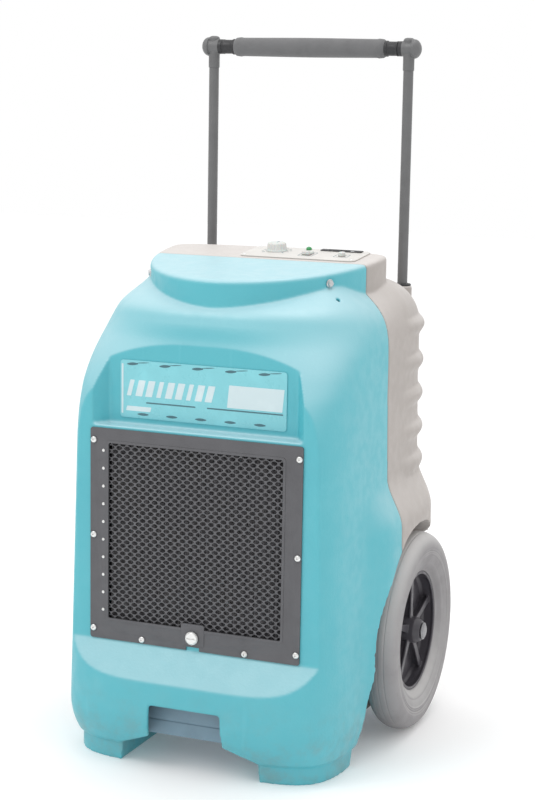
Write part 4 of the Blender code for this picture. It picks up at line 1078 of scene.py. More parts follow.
def make_grille_screws():
    for name in copies("grille_screw", 8):
        low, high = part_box(name)
        spot = middle(name)
        radius = (high.x - low.x) / 2
        seat = Vector((spot.x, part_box("grille_frame")[0].y + 0.0001, spot.z))
        head = [(0, -0.010), (0.0020, -0.010), (0.0020, 0.0), (radius, 0.0), (radius, 0.0011),
                (0.78 * radius, 0.0022), (0.4 * radius, 0.0027), (0, 0.0028)]
        screw = turned("screw", head, seat, (0, -1, 0), 48, 0.0004, 3)
        combine(screw, cross_recess(seat + Vector((0, -0.0026, 0)), (0, -1, 0), 0.0018, 0.00045, 0.0014))
        piece(screw, name.replace("grille", "pan_head"), name, ZINC)


def make_latch():
    low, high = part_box("grille_latch_knob")
    spot = middle("grille_latch_knob")
    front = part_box("grille_frame")[0].y - 0.0013
    radius = (high.x - low.x) / 2
    reach = front - low.y
    outline = []
    ridges = 36
    for k in range(ridges * 6):
        turn = 2 * pi * k / (ridges * 6)
        r = radius - 0.00035 * (1 + cos(ridges * turn))
        outline.append((spot.x + r * cos(turn), spot.z + r * sin(turn)))
    grip = prism("grip", outline, "Y", front - 0.62 * reach, front - 0.0006)
    face = [(0, -0.0055), (0.0042, -0.0055), (0.0042, 0), (0.90 * radius, 0), (0.90 * radius, 0.80 * reach),
            (0.80 * radius, reach), (0, 0.94 * reach)]
    knob = turned("knob", face, (spot.x, front, spot.z), (0, -1, 0), 96, 0.0007, 4)
    combine(knob, [grip], "UNION")
    slot = block("slot", (spot.x - 0.0068, front - 0.02, spot.z - 0.0011),
                 (spot.x + 0.0068, front - 0.66 * reach, spot.z + 0.0011))
    combine(knob, [slot])
    piece(knob, "quarter_turn_knob", "grille_latch_knob", ZINC)


def make_filter():
    """Pleated panel in a folded frame, just behind the mesh."""
    low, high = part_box("air_filter")
    pleats = 26
    left, right = low.x + 0.008, high.x - 0.008
    front = []
    for k in range(pleats * 8 + 1):
        t = k / (pleats * 8)
        wave = abs((t * pleats) % 1 - 0.5) * 2
        front.append((left + t * (right - left), low.y + 0.0012 + 0.009 * smoothstep(0.0, 1.0, wave)))
    outline = front + [(x, y + 0.0035) for x, y in reversed(front)]
    medium = prism("medium", outline, "Z", low.z + 0.007, high.z - 0.007)
    coloured(medium, FIBRE)
    border = prism("border", box_outline(low, high, "xz", 0, 0.003), "Y", low.y, high.y)
    hole = prism("hole", box_outline(low, high, "xz", 0.009, 0.002),
                 "Y", low.y - 0.01, high.y + 0.01)
    combine(border, [hole])
    bevelled(border, 0.0006, 2)
    coloured(border, BLACK)
    piece(join("filter", [medium, border]), "pleated_filter", "air_filter", None, 60)


# ------------------------------------------------------------------ name plate
def slanted(name, x, z, length, height, lean, y, thick):
    """Flat bar with slanted ends."""
    outline = [(x - length / 2, z - height / 2), (x + length / 2, z - height / 2),
               (x + length / 2 + lean, z + height / 2), (x - length / 2 + lean, z + height / 2)]
    return prism(name, rounded(outline, 0.0008, 3), "Y", y - thick, y)


def lens_dash(name, x, z, length, height, rise, y, thick):
    """Printed dash that swells in the middle and climbs to the right."""
    steps = 10
    middle_line = [(x + length * (k / steps - 0.5), z + rise * (k / steps - 0.5)) for k in range(1, steps)]
    swell = [height / 2 * sin(pi * k / steps) for k in range(1, steps)]
    upper = [(u, v + w) for (u, v), w in zip(middle_line, swell)]
    lower = [(u, v - w) for (u, v), w in zip(middle_line, swell)]
    return prism(name, lower + upper[::-1], "Y", y - thick, y)


def make_nameplate():
    """Plain striped plate: dashes along both edges, a row of bars and a pale block."""
    low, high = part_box("nameplate")
    plate = prism("plate", box_outline(low, high, "xz", 0, 0.005), "Y", low.y, high.y)
    bevelled(plate, 0.0003, 2)
    piece(plate, "striped_plate", "nameplate", FILM)
    ink = 0.00015
    wide = high.x - low.x
    dark = []
    for k in range(5):
        x = low.x + wide * (0.075 + 0.198 * k)
        dark.append(lens_dash("dash", x, high.z - 0.0055, 0.022, 0.0042, 0.0015, low.y, ink))
        dark.append(lens_dash("tail", x + 0.017, high.z - 0.0030, 0.024, 0.0013, 0.0022, low.y, ink))
        x = low.x + wide * (0.141 + 0.176 * k)
        dark.append(lens_dash("dash", x, low.z + 0.0062, 0.022, 0.0040, 0.0, low.y, ink))
    for start, end in ((0.16, 0.46), (0.53, 0.98)):
        x = low.x + wide * (start + end) / 2
        dark.append(slanted("rule", x, low.z + 0.0240, wide * (end - start), 0.0020, 0.0, low.y, ink))
    fitting(join("dark", dark), "plate_dark_stripes", DARK_INK)
    pale = []
    for k in range(9):
        bar = 0.0110 if k % 3 else 0.0070
        pale.append(slanted("bar", low.x + 0.014 + k * 0.0160, low.z + 0.0450, bar, 0.024, 0.006, low.y, ink))
    for name, x, lift, length, height, lean in (("block", 0.812 * wide, 0.0440, 0.325 * wide, 0.033, 0.003),
                                                ("stub", 0.110 * wide, 0.0140, 0.150 * wide, 0.007, 0.002),
                                                ("side", 0.0035, 0.043, 0.0028, 0.074, 0.0)):
        pale.append(slanted(name, low.x + x, low.z + lift, length, height, lean, low.y, ink))
    fitting(join("pale", pale), "plate_pale_stripes", PALE_INK)


# ------------------------------------------------------------------ neck bolts
def make_neck_bolts():
    for side, word in SIDES:
        seat, outward = bolt_place(side)
        seat = seat - outward * 0.0012
        flange = [(0, -0.011), (0.0034, -0.011), (0.0034, 0.0), (0.0066, 0.0), (0.0066, 0.0010),
                  (0.0050, 0.0020), (0, 0.0020)]
        bolt = turned("bolt", flange, seat, outward, 48, 0.0003, 3)
        across, up, along = axis_frame(outward)
        rings = []
        for lift, size in ((0.0012, 0.0050), (0.0040, 0.0050), (0.0046, 0.0043)):
            centre = seat + along * lift
            spin = [2 * pi * k / 6 for k in range(6)]
            rings.append([centre + size * (across * cos(t) + up * sin(t)) for t in spin])
        combine(bolt, [loft("hex", rings)], "UNION")
        bevelled(bolt, 0.0003, 2, 25)
        piece(bolt, "flange_bolt_" + word, "housing_bolt_" + word, STEEL)


# ------------------------------------------------------------------ control panel
def on_neck(x, y, lift):
    """Point above the neck's sloping top."""
    return Vector((x, y, neck_top(y))) + PANEL_NORMAL * lift


def neck_block(name, outline, low, high, edge=0.0):
    """Block standing on the neck's sloping top, between two lifts."""
    obj = loft(name, [[on_neck(x, y, lift) for x, y in outline] for lift in (low, high)])
    return bevelled(obj, edge, 3) if edge else obj


def make_control_panel():
    panel = neck_block("panel", round_rectangle(PANEL_X, PANEL_Y_SPAN, 0.010), GAP, PANEL_THICK, 0.0006)
    sx, sy = SWITCH_XY
    pocket = neck_block("pocket", rectangle(about(sx, 0.0075), about(sy, 0.0108)), -0.004, 0.010)
    hole = rod("hole", on_neck(*BUTTON_XY, -0.004), on_neck(*BUTTON_XY, 0.010), 0.0060, 40)
    combine(panel, [pocket, hole])
    piece(panel, "panel_plate", "control_panel", PANEL)
    face = PANEL_THICK
    marks = []
    for k in range(11):
        turn = radians(-135 + 27 * k)
        way = Vector((sin(turn), cos(turn)))
        side = Vector((way.y, -way.x)) * (0.0006 if k % 5 else 0.0010)
        near, far = way * 0.0205, way * (0.0238 if k % 5 else 0.0252)
        spots = [near - side, near + side, far + side, far - side]
        outline = [(KNOB_XY[0] + p.x, KNOB_XY[1] + p.y) for p in spots]
        marks.append(neck_block("tick", outline, face - 0.0001, face + 0.00015))
    for (x, y), half_x, half_y in ((SWITCH_XY, 0.012, 0.0155), (BUTTON_XY, 0.011, 0.011)):
        ring = neck_block("ring", round_rectangle(about(x, half_x), about(y, half_y), 0.003),
                          face - 0.0001, face + 0.00015)
        hollow = round_rectangle((x - half_x + 0.0008, x + half_x - 0.0008),
                                 (y - half_y + 0.0008, y + half_y - 0.0008), 0.0023)
        inside = neck_block("inside", hollow, 0.0, 0.01)
        marks.append(combine(ring, [inside]))
    fitting(join("marks", marks), "panel_marks", DARK_INK)
    corners = []
    for x in (PANEL_X[0] + 0.007, PANEL_X[1] - 0.007):
        for y in (PANEL_Y_SPAN[0] + 0.007, PANEL_Y_SPAN[1] - 0.007):
            if abs(x - METER_XY[0]) < METER_HALF[0] + 0.012 and y > METER_XY[1] - 0.012:
                continue
            head = [(0, -0.0015), (0.0028, -0.0015), (0.0028, 0.0006), (0.0018, 0.0013), (0, 0.0014)]
            screw = turned("screw", head, on_neck(x, y, face), PANEL_NORMAL, 32, 0.0003, 2)
            combine(screw, cross_recess(on_neck(x, y, face + 0.0012), PANEL_NORMAL, 0.0010, 0.00028, 0.0008))
            corners.append(screw)
    fitting(join("corner_screws", corners), "panel_screws", ZINC)


def make_meter():
    """Flush hour counter: a dark frame round a sunk row of number tiles."""
    x, y = METER_XY
    half_x, half_y = METER_HALF
    frame = neck_block("frame", round_rectangle(about(x, half_x), about(y, half_y), 0.002),
                       PANEL_TOP, PANEL_TOP + 0.0012, 0.0003)
    window = round_rectangle(about(x, 0.021), about(y, 0.0038), 0.0010)
    combine(frame, [neck_block("window", window, PANEL_TOP + 0.0004, 0.02)])
    parts = [coloured(frame, BLACK)]
    for k in range(6):
        cx = x - 0.0170 + k * 0.0068
        tile = neck_block("tile", round_rectangle(about(cx, 0.0029), about(y, 0.0031), 0.0005),
                          PANEL_TOP + 0.0003, PANEL_TOP + 0.0007, 0.0001)
        parts.append(coloured(tile, WHITE_INK if k == 5 else BLACK))
    piece(join("meter", parts), "hour_counter", "hour_meter")


def make_panel_controls():
    lens_shape = [(0, 0), (0.0045, 0), (0.0045, 0.0018), (0.0035, 0.0036), (0.0018, 0.0044), (0, 0.0045)]
    lamp = turned("lamp", lens_shape, on_neck(*LAMP_XY, PANEL_TOP), PANEL_NORMAL, 48, 0.0006, 4)
    piece(lamp, "indicator_lens", "power_lamp", LAMP)
    x, y = SWITCH_XY
    profile = []
    for k in range(25):
        u = -1 + 2 * k / 24
        profile.append((y + 0.0095 * u, 0.0032 + 0.0012 * u * u))
    outline = [(y - 0.0095, -0.0006)] + profile + [(y + 0.0095, -0.0006)]
    rings = [[on_neck(x + dx, v, PANEL_TOP + lift) for v, lift in outline] for dx in (-0.0065, 0.0065)]
    rocker = bevelled(loft("rocker", rings), 0.0005, 3)
    dot = turned("dot", [(0.0011, 0), (0.0017, 0), (0.0017, 0.0003), (0.0011, 0.0003)],
                 on_neck(x, y - 0.0052, PANEL_TOP + 0.0034), PANEL_NORMAL, 24)
    bar = neck_block("bar", rectangle(about(x, 0.0003), (y + 0.0035, y + 0.0066)), PANEL_TOP + 0.0033,
                     PANEL_TOP + 0.0039)
    coloured(rocker, PALE)
    switch = join("switch", [rocker, coloured(dot, DARK_INK), coloured(bar, DARK_INK)])
    pivot = on_neck(x, y, PANEL_TOP + 0.0012)
    tilt = Matrix.Rotation(radians(SWITCH_TILT), 4, "X")
    switch.data.transform(Matrix.Translation(pivot) @ tilt @ Matrix.Translation(-pivot))
    piece(switch, "rocker_switch", "power_switch")


def make_humidity_knob():
    base = on_neck(*KNOB_XY, PANEL_TOP)
    across, up, along = axis_frame(PANEL_NORMAL)
    rings = []
    steps = 216
    levels = ((0.0, 0.0170, 0.0), (0.0012, 0.0170, 0.0), (0.0022, 0.0160, 0.3), (0.0034, 0.0156, 1.0),
              (0.0100, 0.0148, 1.0), (0.0112, 0.0144, 0.6), (0.0121, 0.0136, 0.1), (0.0125, 0.0122, 0.0))
    for lift, radius, share in levels:
        ring = []
        for k in range(steps):
            turn = 2 * pi * k / steps
            flute = 0.0009 * share * (0.5 + 0.5 * cos(18 * turn)) ** 3
            way = across * cos(turn) + up * sin(turn)
            ring.append(base + along * lift + (radius - flute) * way)
        rings.append(ring)
    knob = coloured(loft("knob", rings), PALE)
    x, y = KNOB_XY
    pointer = neck_block("pointer", round_rectangle(about(x, 0.0008), (y + 0.002, y + 0.0118), 0.0006, 3),
                         PANEL_TOP + 0.0115, PANEL_TOP + 0.0127)
    dial = join("dial", [knob, coloured(pointer, DARK_INK)])
    piece(dial, "humidity_dial", "humidistat_knob")


def make_button():
    shape = [(0, 0), (0.0055, 0), (0.0055, 0.0048), (0.0046, 0.0058), (0.0020, 0.0055), (0, 0.0054)]
    button = turned("button", shape, on_neck(*BUTTON_XY, 0.0026), PANEL_NORMAL, 48, 0.0006, 4)
    piece(button, "push_button", "purge_button", PALE)


# ------------------------------------------------------------------ pull handle
def make_handle():
    corner_radius = half_size("handle_corner_right").y
    low_leg, high_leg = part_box("handle_leg_right")
    for side, word in SIDES:
        x = side * LEG.x
        wall = 0.0018
        profile = [(LEG_RADIUS - wall, low_leg.z), (LEG_RADIUS, low_leg.z), (LEG_RADIUS, high_leg.z),
                   (LEG_RADIUS - wall, high_leg.z)]
        leg = turned("leg", profile, (x, LEG.y, 0), (0, 0, 1), 56, 0.0006, 3)
        stops = []
        for z in (low_leg.z + 0.012, low_leg.z + 0.024):
            stops.append(rod("stop", (x - 0.02, LEG.y, z), (x + 0.02, LEG.y, z), 0.0022, 24))
        combine(leg, stops)
        piece(leg, "tube_leg_" + word, "handle_leg_" + word, POWDER)
        make_corner(side, word, x, corner_radius)
    half = LEG.x
    bar = turned("bar", [(0.0062, -half), (LEG_RADIUS, -half), (LEG_RADIUS, half), (0.0062, half)],
                 (0, LEG.y, GRIP_Z), (1, 0, 0), 56, 0.0005, 3)
    piece(bar, "tube_bar", "handle_cross_bar", POWDER)
    make_grip()


def make_corner(side, word, x, radius):
    """End of the handle: the leg's rounded top, a domed cap outside and a dark collar inside."""
    inner = -0.0165
    collar = 0.0118
    dome = []
    for k in range(13):
        turn = pi / 2 * k / 12
        dome.append((radius * cos(turn) ** 1.2, 0.0095 + 0.0110 * sin(turn)))
    profile = [(0, inner), (collar, inner), (collar, 0.0070), (radius, 0.0072)] + dome[:-1] + [(0, 0.0205)]
    corner = turned("corner", profile, (x, LEG.y, GRIP_Z), (side, 0, 0), 72)
    top = 0.0172
    sleeve_radius = 0.0090
    sleeve = [(0, -0.034), (sleeve_radius, -0.034)]
    for k in range(9):
        turn = pi / 2 * k / 8
        sleeve.append((sleeve_radius * cos(turn) ** 0.6, top - 0.005 + 0.005 * sin(turn)))
    upright = turned("upright", sleeve[:-1] + [(0, top)], (x, LEG.y, GRIP_Z), (0, 0, 1), 56)
    combine(corner, [upright], "UNION")
    soften(corner, 0.0008, 3)
    holes = [rod("leg_bore", (x, LEG.y, GRIP_Z - 0.05), (x, LEG.y, GRIP_Z - 0.0157), LEG_RADIUS + GAP, 48),
             rod("bar_bore", (0, LEG.y, GRIP_Z), (x + side * 0.0005, LEG.y, GRIP_Z), LEG_RADIUS + GAP, 48)]
    combine(corner, holes)
    coloured(corner, POWDER)
    corner.data.materials.append(BLACK)
    for face in corner.data.polygons:
        face.material_index = int(side * face.center.x < x * side - HANDLE_COLLAR_X)
    piece(corner, "elbow_" + word, "handle_corner_" + word, None, 50)


def make_grip():
    """Foam sleeve between two plastic collars."""
    low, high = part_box("handle_grip")
    radius = (high.z - low.z) / 2
    reach = 0.1285
    end = high.x
    bore = LEG_RADIUS + GAP
    profile = [(bore, -reach), (radius - 0.003, -reach), (radius - 0.0008, -reach + 0.003),
               (radius, -reach + 0.010)]
    waves = 60
    for k in range(1, waves):
        t = -reach + 0.010 + (2 * reach - 0.020) * k / waves
        swell = 0.00035 * cos(pi * t / reach)
        profile.append((radius - 0.0004 + min(swell, 0.0004), t))
    profile += [(radius, reach - 0.010), (radius - 0.0008, reach - 0.003), (radius - 0.003, reach),
                (bore, reach)]
    sleeve = coloured(turned("sleeve", profile, (0, LEG.y, GRIP_Z), (1, 0, 0), 72), FOAM)
    parts = [sleeve]
    for side in (-1, 1):
        ring = [(bore, reach + GAP), (0.0125, reach + GAP), (0.0125, reach + 0.004), (0.0112, reach + 0.005),
                (0.0112, end - 0.003), (0.0118, end - 0.002), (0.0118, end), (bore, end)]
        parts.append(coloured(turned("collar", ring, (0, LEG.y, GRIP_Z), (side, 0, 0), 56, 0.0004, 2), BLACK))
    piece(join("grip", parts), "foam_grip", "handle_grip")


def make_handle_guides():
    for side, word in SIDES:
        x = side * LEG.x
        bore = LEG_RADIUS + 0.0005
        lip = BUSH_SEAT_Z + GAP
        profile = [(bore, 0.636), (BUSH_RADIUS, 0.636), (BUSH_RADIUS, lip), (BUSH_RADIUS + 0.0025, lip),
                   (BUSH_RADIUS + 0.0025, lip + 0.0018), (BUSH_RADIUS + 0.0005, lip + 0.0029),
                   (bore + 0.0008, lip + 0.0029), (bore, lip + 0.0022)]
        bush = turned("bush", profile, (x, LEG.y, 0), (0, 0, 1), 64, 0.0007, 3)
        piece(bush, "leg_bush_" + word, "handle_bush_" + word, BLACK)
        low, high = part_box("handle_guide_" + word)
        profile = [(bore, low.z), (0.0112, low.z), (0.0112, high.z), (bore, high.z)]
        guide = turned("guide", profile, (x, LEG.y, 0), (0, 0, 1), 48, 0.0003, 2)
        slot = block("slot", (x - 0.003, LEG.y - 0.02, low.z + 0.03),
                     (x + 0.003, LEG.y - 0.004, high.z - 0.03), 0.001)
        combine(guide, [slot])
        piece(guide, "guide_tube_" + word, "handle_guide_" + word, STEEL)


# ------------------------------------------------------------------ wheels
def tyre_outline():
    """Rounded tread with shallow grooves, bulged sidewalls and a moulded bead line."""
    shoulder = 0.024
    points = []
    steps = 120
    for k in range(steps + 1):
        turn = radians(-90 + 180 * k / steps)
        r = WHEEL_RADIUS - shoulder + shoulder * max(cos(turn), 0.0) ** 0.85
        h = TYRE_HALF * copysign(abs(sin(turn)) ** 0.95, turn)
        for centre in (-0.0095, 0.0, 0.0095):
            near = max(1 - abs(h - centre) / 0.0011, 0.0)
            r -= 0.0006 * smoothstep(0.0, 0.7, near)
        points.append((r, h))
    wall = []
    for k in range(1, 24):
        t = k / 24
        r = (WHEEL_RADIUS - shoulder) * (1 - t) + TYRE_LIP_RADIUS * t
        h = TYRE_HALF * (1 - 0.20 * t ** 2)
        line = max(1 - abs(r - 0.122) / 0.0018, 0.0) - max(1 - abs(r - 0.1275) / 0.0014, 0.0)
        wall.append((r, h + 0.0007 * smoothstep(0.0, 1.0, abs(line)) * copysign(1, line) - 0.0004))
    bead = half_size("wheel_rim_right").z + GAP
    slope = []
    for k in range(7):
        t = k / 6
        slope.append((TYRE_LIP_RADIUS + (bead - TYRE_LIP_RADIUS) * t,
                      0.8 * TYRE_HALF + (RIM_HALF_WIDTH - 0.8 * TYRE_HALF) * smoothstep(0.0, 1.0, t)))
    right = wall + slope
    left = [(r, -h) for r, h in reversed(right)]
    return left + points + right


def make_tyres():
    for side, word in SIDES:
        centre = (side * WHEEL.x, WHEEL.y, WHEEL.z)
        tyre = turned("tyre", tyre_outline(), centre, (side, 0, 0), 160)
        piece(tyre, "solid_tyre_" + word, "tyre_" + word, TYRE, 60)


def make_rims():
    """Dished rims: a barrel closed by a web on its inner side, with a hub and five ribs."""
    radius = half_size("wheel_rim_right").z
    half = RIM_HALF_WIDTH
    inner = radius - 0.0035
    dish = [(0.019, -half), (radius, -half), (radius, half), (inner - 0.0015, half),
            (inner - 0.0015, half - 0.0025), (inner, half - 0.0045), (inner, 0.0075 - half),
            (inner - 0.004, 0.0035 - half), (0.019, 0.0035 - half)]
    hub = [(0, -0.026), (0.016, -0.026), (0.021, -0.020), (0.0215, -0.004), (0.0205, 0.012), (0.0165, 0.0195),
           (0.0150, 0.0215), (0, 0.0215)]
    for side, word in SIDES:
        centre = Vector((side * WHEEL.x, WHEEL.y, WHEEL.z))
        rim = turned("rim", dish, centre, (side, 0, 0), 128)
        parts = [turned("hub", hub, centre, (side, 0, 0), 64)]
        for k in range(WHEEL_RIBS):
            spin = Matrix.Rotation(radians(360 / WHEEL_RIBS * k), 4, "X")
            for rib_x, rib_y in ((RIB_WEB_X, RIB_WEB_Y), (RIB_CAP_X, RIB_CAP_Y)):
                rings = []
                for z, share in ((0.014, 1.35), (0.045, 1.0), (inner + 0.001, 1.2)):
                    ring = [Vector((side * dx, dy * share, z)) for dx, dy in rectangle(rib_x, rib_y)]
                    rings.append([centre + spin @ p for p in ring])
                parts.append(loft("rib", rings))
        combine(rim, parts, "UNION")
        soften(rim, 0.0009, 2, 90000)
        combine(rim, [rod("bore", (0, WHEEL.y, WHEEL.z), (side * 0.3, WHEEL.y, WHEEL.z), AXLE_BORE, 48)])
        piece(rim, "dished_rim_" + word, "wheel_rim_" + word, RIM_PLASTIC, 60)


def make_axle():
    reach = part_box("axle")[1].x
    profile = [(0, -reach), (0.008, -reach), (0.008, reach), (0, reach)]
    axle = turned("axle_bar", profile, (0, WHEEL.y, WHEEL.z), (1, 0, 0), 48, 0.0012, 3)
    grooves = []
    groove = rectangle((0.0072, 0.010), (-0.0007, 0.0007))
    for side in (-1, 1):
        grooves.append(turned("groove", groove, (side * 0.2235, WHEEL.y, WHEEL.z), (1, 0, 0), 48))
    combine(axle, grooves)
    piece(axle, "axle_rod", "axle", STEEL)
    for side, word in SIDES:
        cap_low, cap_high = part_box("axle_cap_" + word)
        base = min(abs(cap_low.x), abs(cap_high.x))
        tall = cap_high.x - cap_low.x
        shape = [(0, 0.0008), (0.0083, 0.0008), (0.0083, 0), (0.0135, 0), (0.0135, 0.3 * tall),
                 (0.0112, 0.62 * tall), (0.0096, 0.92 * tall), (0.0050, tall), (0, tall)]
        cap = turned("cap", shape, (side * base, WHEEL.y, WHEEL.z), (side, 0, 0), 64, 0.0007, 4)
        end = side * (reach + GAP)
        combine(cap, [rod("seat", (0, WHEEL.y, WHEEL.z), (end, WHEEL.y, WHEEL.z), 0.0083, 40)])
        piece(cap, "push_cap_" + word, "axle_cap_" + word, DULL_ZINC)


# ------------------------------------------------------------------ chassis
def make_chassis():
    """Folded pan with a stiffening bead, drain holes and two ears for the axle."""
    low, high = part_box("base_frame")
    rim_z = 0.098
    deck_z = 0.048
    pan = prism("pan", box_outline(low, high, "xy", 0, 0.045, 12), "Z", low.z, rim_z)
    inside = prism("inside", box_outline(low, high, "xy", 0.003, 0.042, 12),
                   "Z", deck_z, 0.2)
    combine(pan, [inside])
    ears = []
    for side in (-1, 1):
        outline = [(WHEEL.y - 0.030, low.z + 0.001), (WHEEL.y + 0.030, low.z + 0.001),
                   (WHEEL.y + 0.020, 0.165), (WHEEL.y + 0.010, 0.172),
                   (WHEEL.y - 0.010, 0.172), (WHEEL.y - 0.020, 0.165)]
        ear_low, ear_high = sorted((side * 0.170, side * 0.174))
        ears.append(prism("ear", outline, "X", ear_low, ear_high))
    combine(pan, ears, "UNION")
    cuts = [rod("ear_bore", (-0.20, WHEEL.y, WHEEL.z), (0.20, WHEEL.y, WHEEL.z), AXLE_BORE, 40)]
    for x in (-0.120, -0.040, 0.040, 0.120):
        cuts.append(rod("drain", (x, -0.150, 0.0), (x, -0.150, 0.06), 0.004, 24))
        cuts.append(rod("drain", (x, 0.160, 0.0), (x, 0.160, 0.06), 0.004, 24))
    front_groove = [(low.y - 0.002, 0.0640), (low.y + 0.0012, 0.0660),
                    (low.y + 0.0012, 0.0690), (low.y - 0.002, 0.0710)]
    cuts.append(prism("bead", front_groove, "X", -0.120, 0.120))
    combine(pan, cuts)
    bevelled(pan, 0.0008, 2, 35)
    piece(pan, "chassis_pan", "base_frame", CHASSIS)


# ------------------------------------------------------------------ refrigeration circuit
def make_coil(node, name, rows, look):
    """Finned heat exchanger: thin plates threaded by tubes, with return bends at both ends."""
    low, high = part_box(node)
    fins = []
    count = 112
    reach = high.x - 0.012
    for k in range(count):
        x = -reach + 0.003 + (2 * reach - 0.006) * k / (count - 1)
        fins.append(block("fin", (x - 0.00012, low.y + 0.001, low.z + 0.001),
                          (x + 0.00012, high.y - 0.001, high.z - 0.001)))
    parts = [coloured(join("fins", fins), look)]
    for side in (-1, 1):
        x_low, x_high = sorted((side * (reach - 0.0012), side * (reach + 0.0012)))
        plate = block("end_plate", (x_low, low.y, low.z), (x_high, high.y, high.z), 0.0004, 2)
        parts.append(coloured(plate, STEEL))
    tubes = []
    levels = 10
    pitch = (high.z - low.z) / levels
    columns = [low.y + (high.y - low.y) * (k + 0.5) / rows for k in range(rows)]
    radius = 0.0042
    for y in columns:
        for level in range(levels):
            z = low.z + (level + 0.5) * pitch
            tubes.append(rod("run", (-reach, y, z), (reach, y, z), radius, 16))
    for side in (-1, 1):
        for k, y in enumerate(columns):
            first = (k + (side > 0)) % 2
            for level in range(first, levels - 1, 2):
                z = low.z + (level + 0.5) * pitch
                bend = []
                for step in range(9):
                    turn = pi * step / 8
                    rise = pitch * (1 - cos(turn)) / 2
                    bend.append((side * (reach + 0.0072 * sin(turn)), y, z + rise))
                tubes.append(tube("bend", bend, radius, 24, 14))
    parts.append(coloured(join("tubes", tubes), COPPER))
    piece(join(name, parts), name, node, None, 40)


def make_drip_tray():
    low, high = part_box("drip_tray")
    outline = box_outline(low, high, "xy", 0, 0.006)
    tray = prism("tray", outline, "Z", low.z, high.z)
    centre_y = middle("drip_tray").y
    rings = []
    for share_x, share_y, z in ((0.978, 0.87, low.z + 0.003), (0.984, 0.90, 0.2)):
        rings.append([(x * share_x, (y - centre_y) * share_y + centre_y, z) for x, y in outline])
    combine(tray, [loft("inside", rings)])
    spout_y = low.y + 0.027
    combine(tray, [rod("spout_bore", (0.130, spout_y, low.z - 0.01), (0.130, spout_y, high.z), 0.005)])
    bevelled(tray, 0.0006, 2)
    piece(tray, "condensate_tray", "drip_tray", BLACK)


def make_compressor():
    low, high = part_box("compressor")
    centre = Vector(((low.x + high.x) / 2, (low.y + high.y) / 2, low.z))
    tall = high.z - low.z
    shell = [(0, 0.008), (0.046, 0.008), (0.0535, 0.014), (0.056, 0.026), (0.056, 0.098), (0.0575, 0.100),
             (0.0575, 0.106), (0.056, 0.108), (0.056, 0.186), (0.051, 0.206), (0.036, 0.219), (0.013, 0.2235),
             (0.0115, 0.2270), (0.0085, tall), (0, tall)]
    parts = [coloured(turned("shell", shell, centre, (0, 0, 1), 96, 0.003, 4), ENAMEL)]
    plate = prism("plate", round_rectangle(about(centre.x, 0.046), about(centre.y, 0.046), 0.014),
                  "Z", low.z + 0.0035, low.z + 0.0085)
    parts.append(coloured(bevelled(plate, 0.0008, 2), ENAMEL))
    foot = [(0.0035, 0.0), (0.009, 0.0), (0.009, 0.0030), (0.0065, 0.0042), (0.009, 0.0095), (0.0035, 0.0095)]
    for sx, sy in CORNERS:
        spot = (centre.x + sx * 0.037, centre.y + sy * 0.037, low.z)
        parts.append(coloured(turned("grommet", foot, spot, (0, 0, 1), 32, 0.0006, 2), BLACK))
    cover = block("terminal", (centre.x + 0.046, centre.y - 0.020, low.z + 0.125),
                  (centre.x + 0.0655, centre.y + 0.020, low.z + 0.175), 0.004, 4)
    parts.append(coloured(cover, BLACK))
    piece(join("compressor", parts), "hermetic_compressor", "compressor", None, 40)


def make_refrigerant_lines():
    drier = middle("filter_drier")
    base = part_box("filter_drier")[0].z
    shape = [(0, 0), (0.0036, 0.0002), (0.0040, 0.006), (0.0080, 0.013), (0.0118, 0.020), (0.012, 0.024),
             (0.012, 0.072), (0.0118, 0.076), (0.0080, 0.083), (0.0040, 0.090), (0.0036, 0.0958), (0, 0.096)]
    body = turned("drier", shape, (drier.x, drier.y, base), (0, 0, 1), 56, 0.0015, 3)
    piece(body, "copper_drier", "filter_drier", COPPER)
    compressor_low, compressor_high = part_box("compressor")
    cx = (compressor_low.x + compressor_high.x) / 2
    cy = (compressor_low.y + compressor_high.y) / 2
    top = compressor_high.z
    suction = [(0.164, -0.161, 0.520), (0.164, -0.125, 0.525), (0.150, -0.060, 0.512), (0.020, -0.040, 0.500),
               (cx + 0.012, cy, 0.470), (cx + 0.004, cy, 0.400), (cx, cy, top + 0.001)]
    discharge = [(cx - 0.0585, cy, 0.200), (cx - 0.075, cy, 0.215), (cx - 0.077, cy - 0.010, 0.420),
                 (cx - 0.072, cy - 0.030, 0.470), (-0.145, -0.060, 0.480), (-0.145, -0.0775, 0.480)]
    liquid = [(0.045, -0.040, 0.2465), (0.045, -0.042, 0.300), (0.060, -0.050, 0.330), (0.100, -0.058, 0.340),
              (0.140, -0.062, 0.345), (0.146, -0.0775, 0.345)]
    for name, route, radius in (("suction", suction, 0.0045), ("discharge", discharge, 0.0035),
                                ("liquid", liquid, 0.003)):
        line = tube("line", route, radius, 160, 20)
        piece(line, name + "_pipe", name + "_line", COPPER, 50)


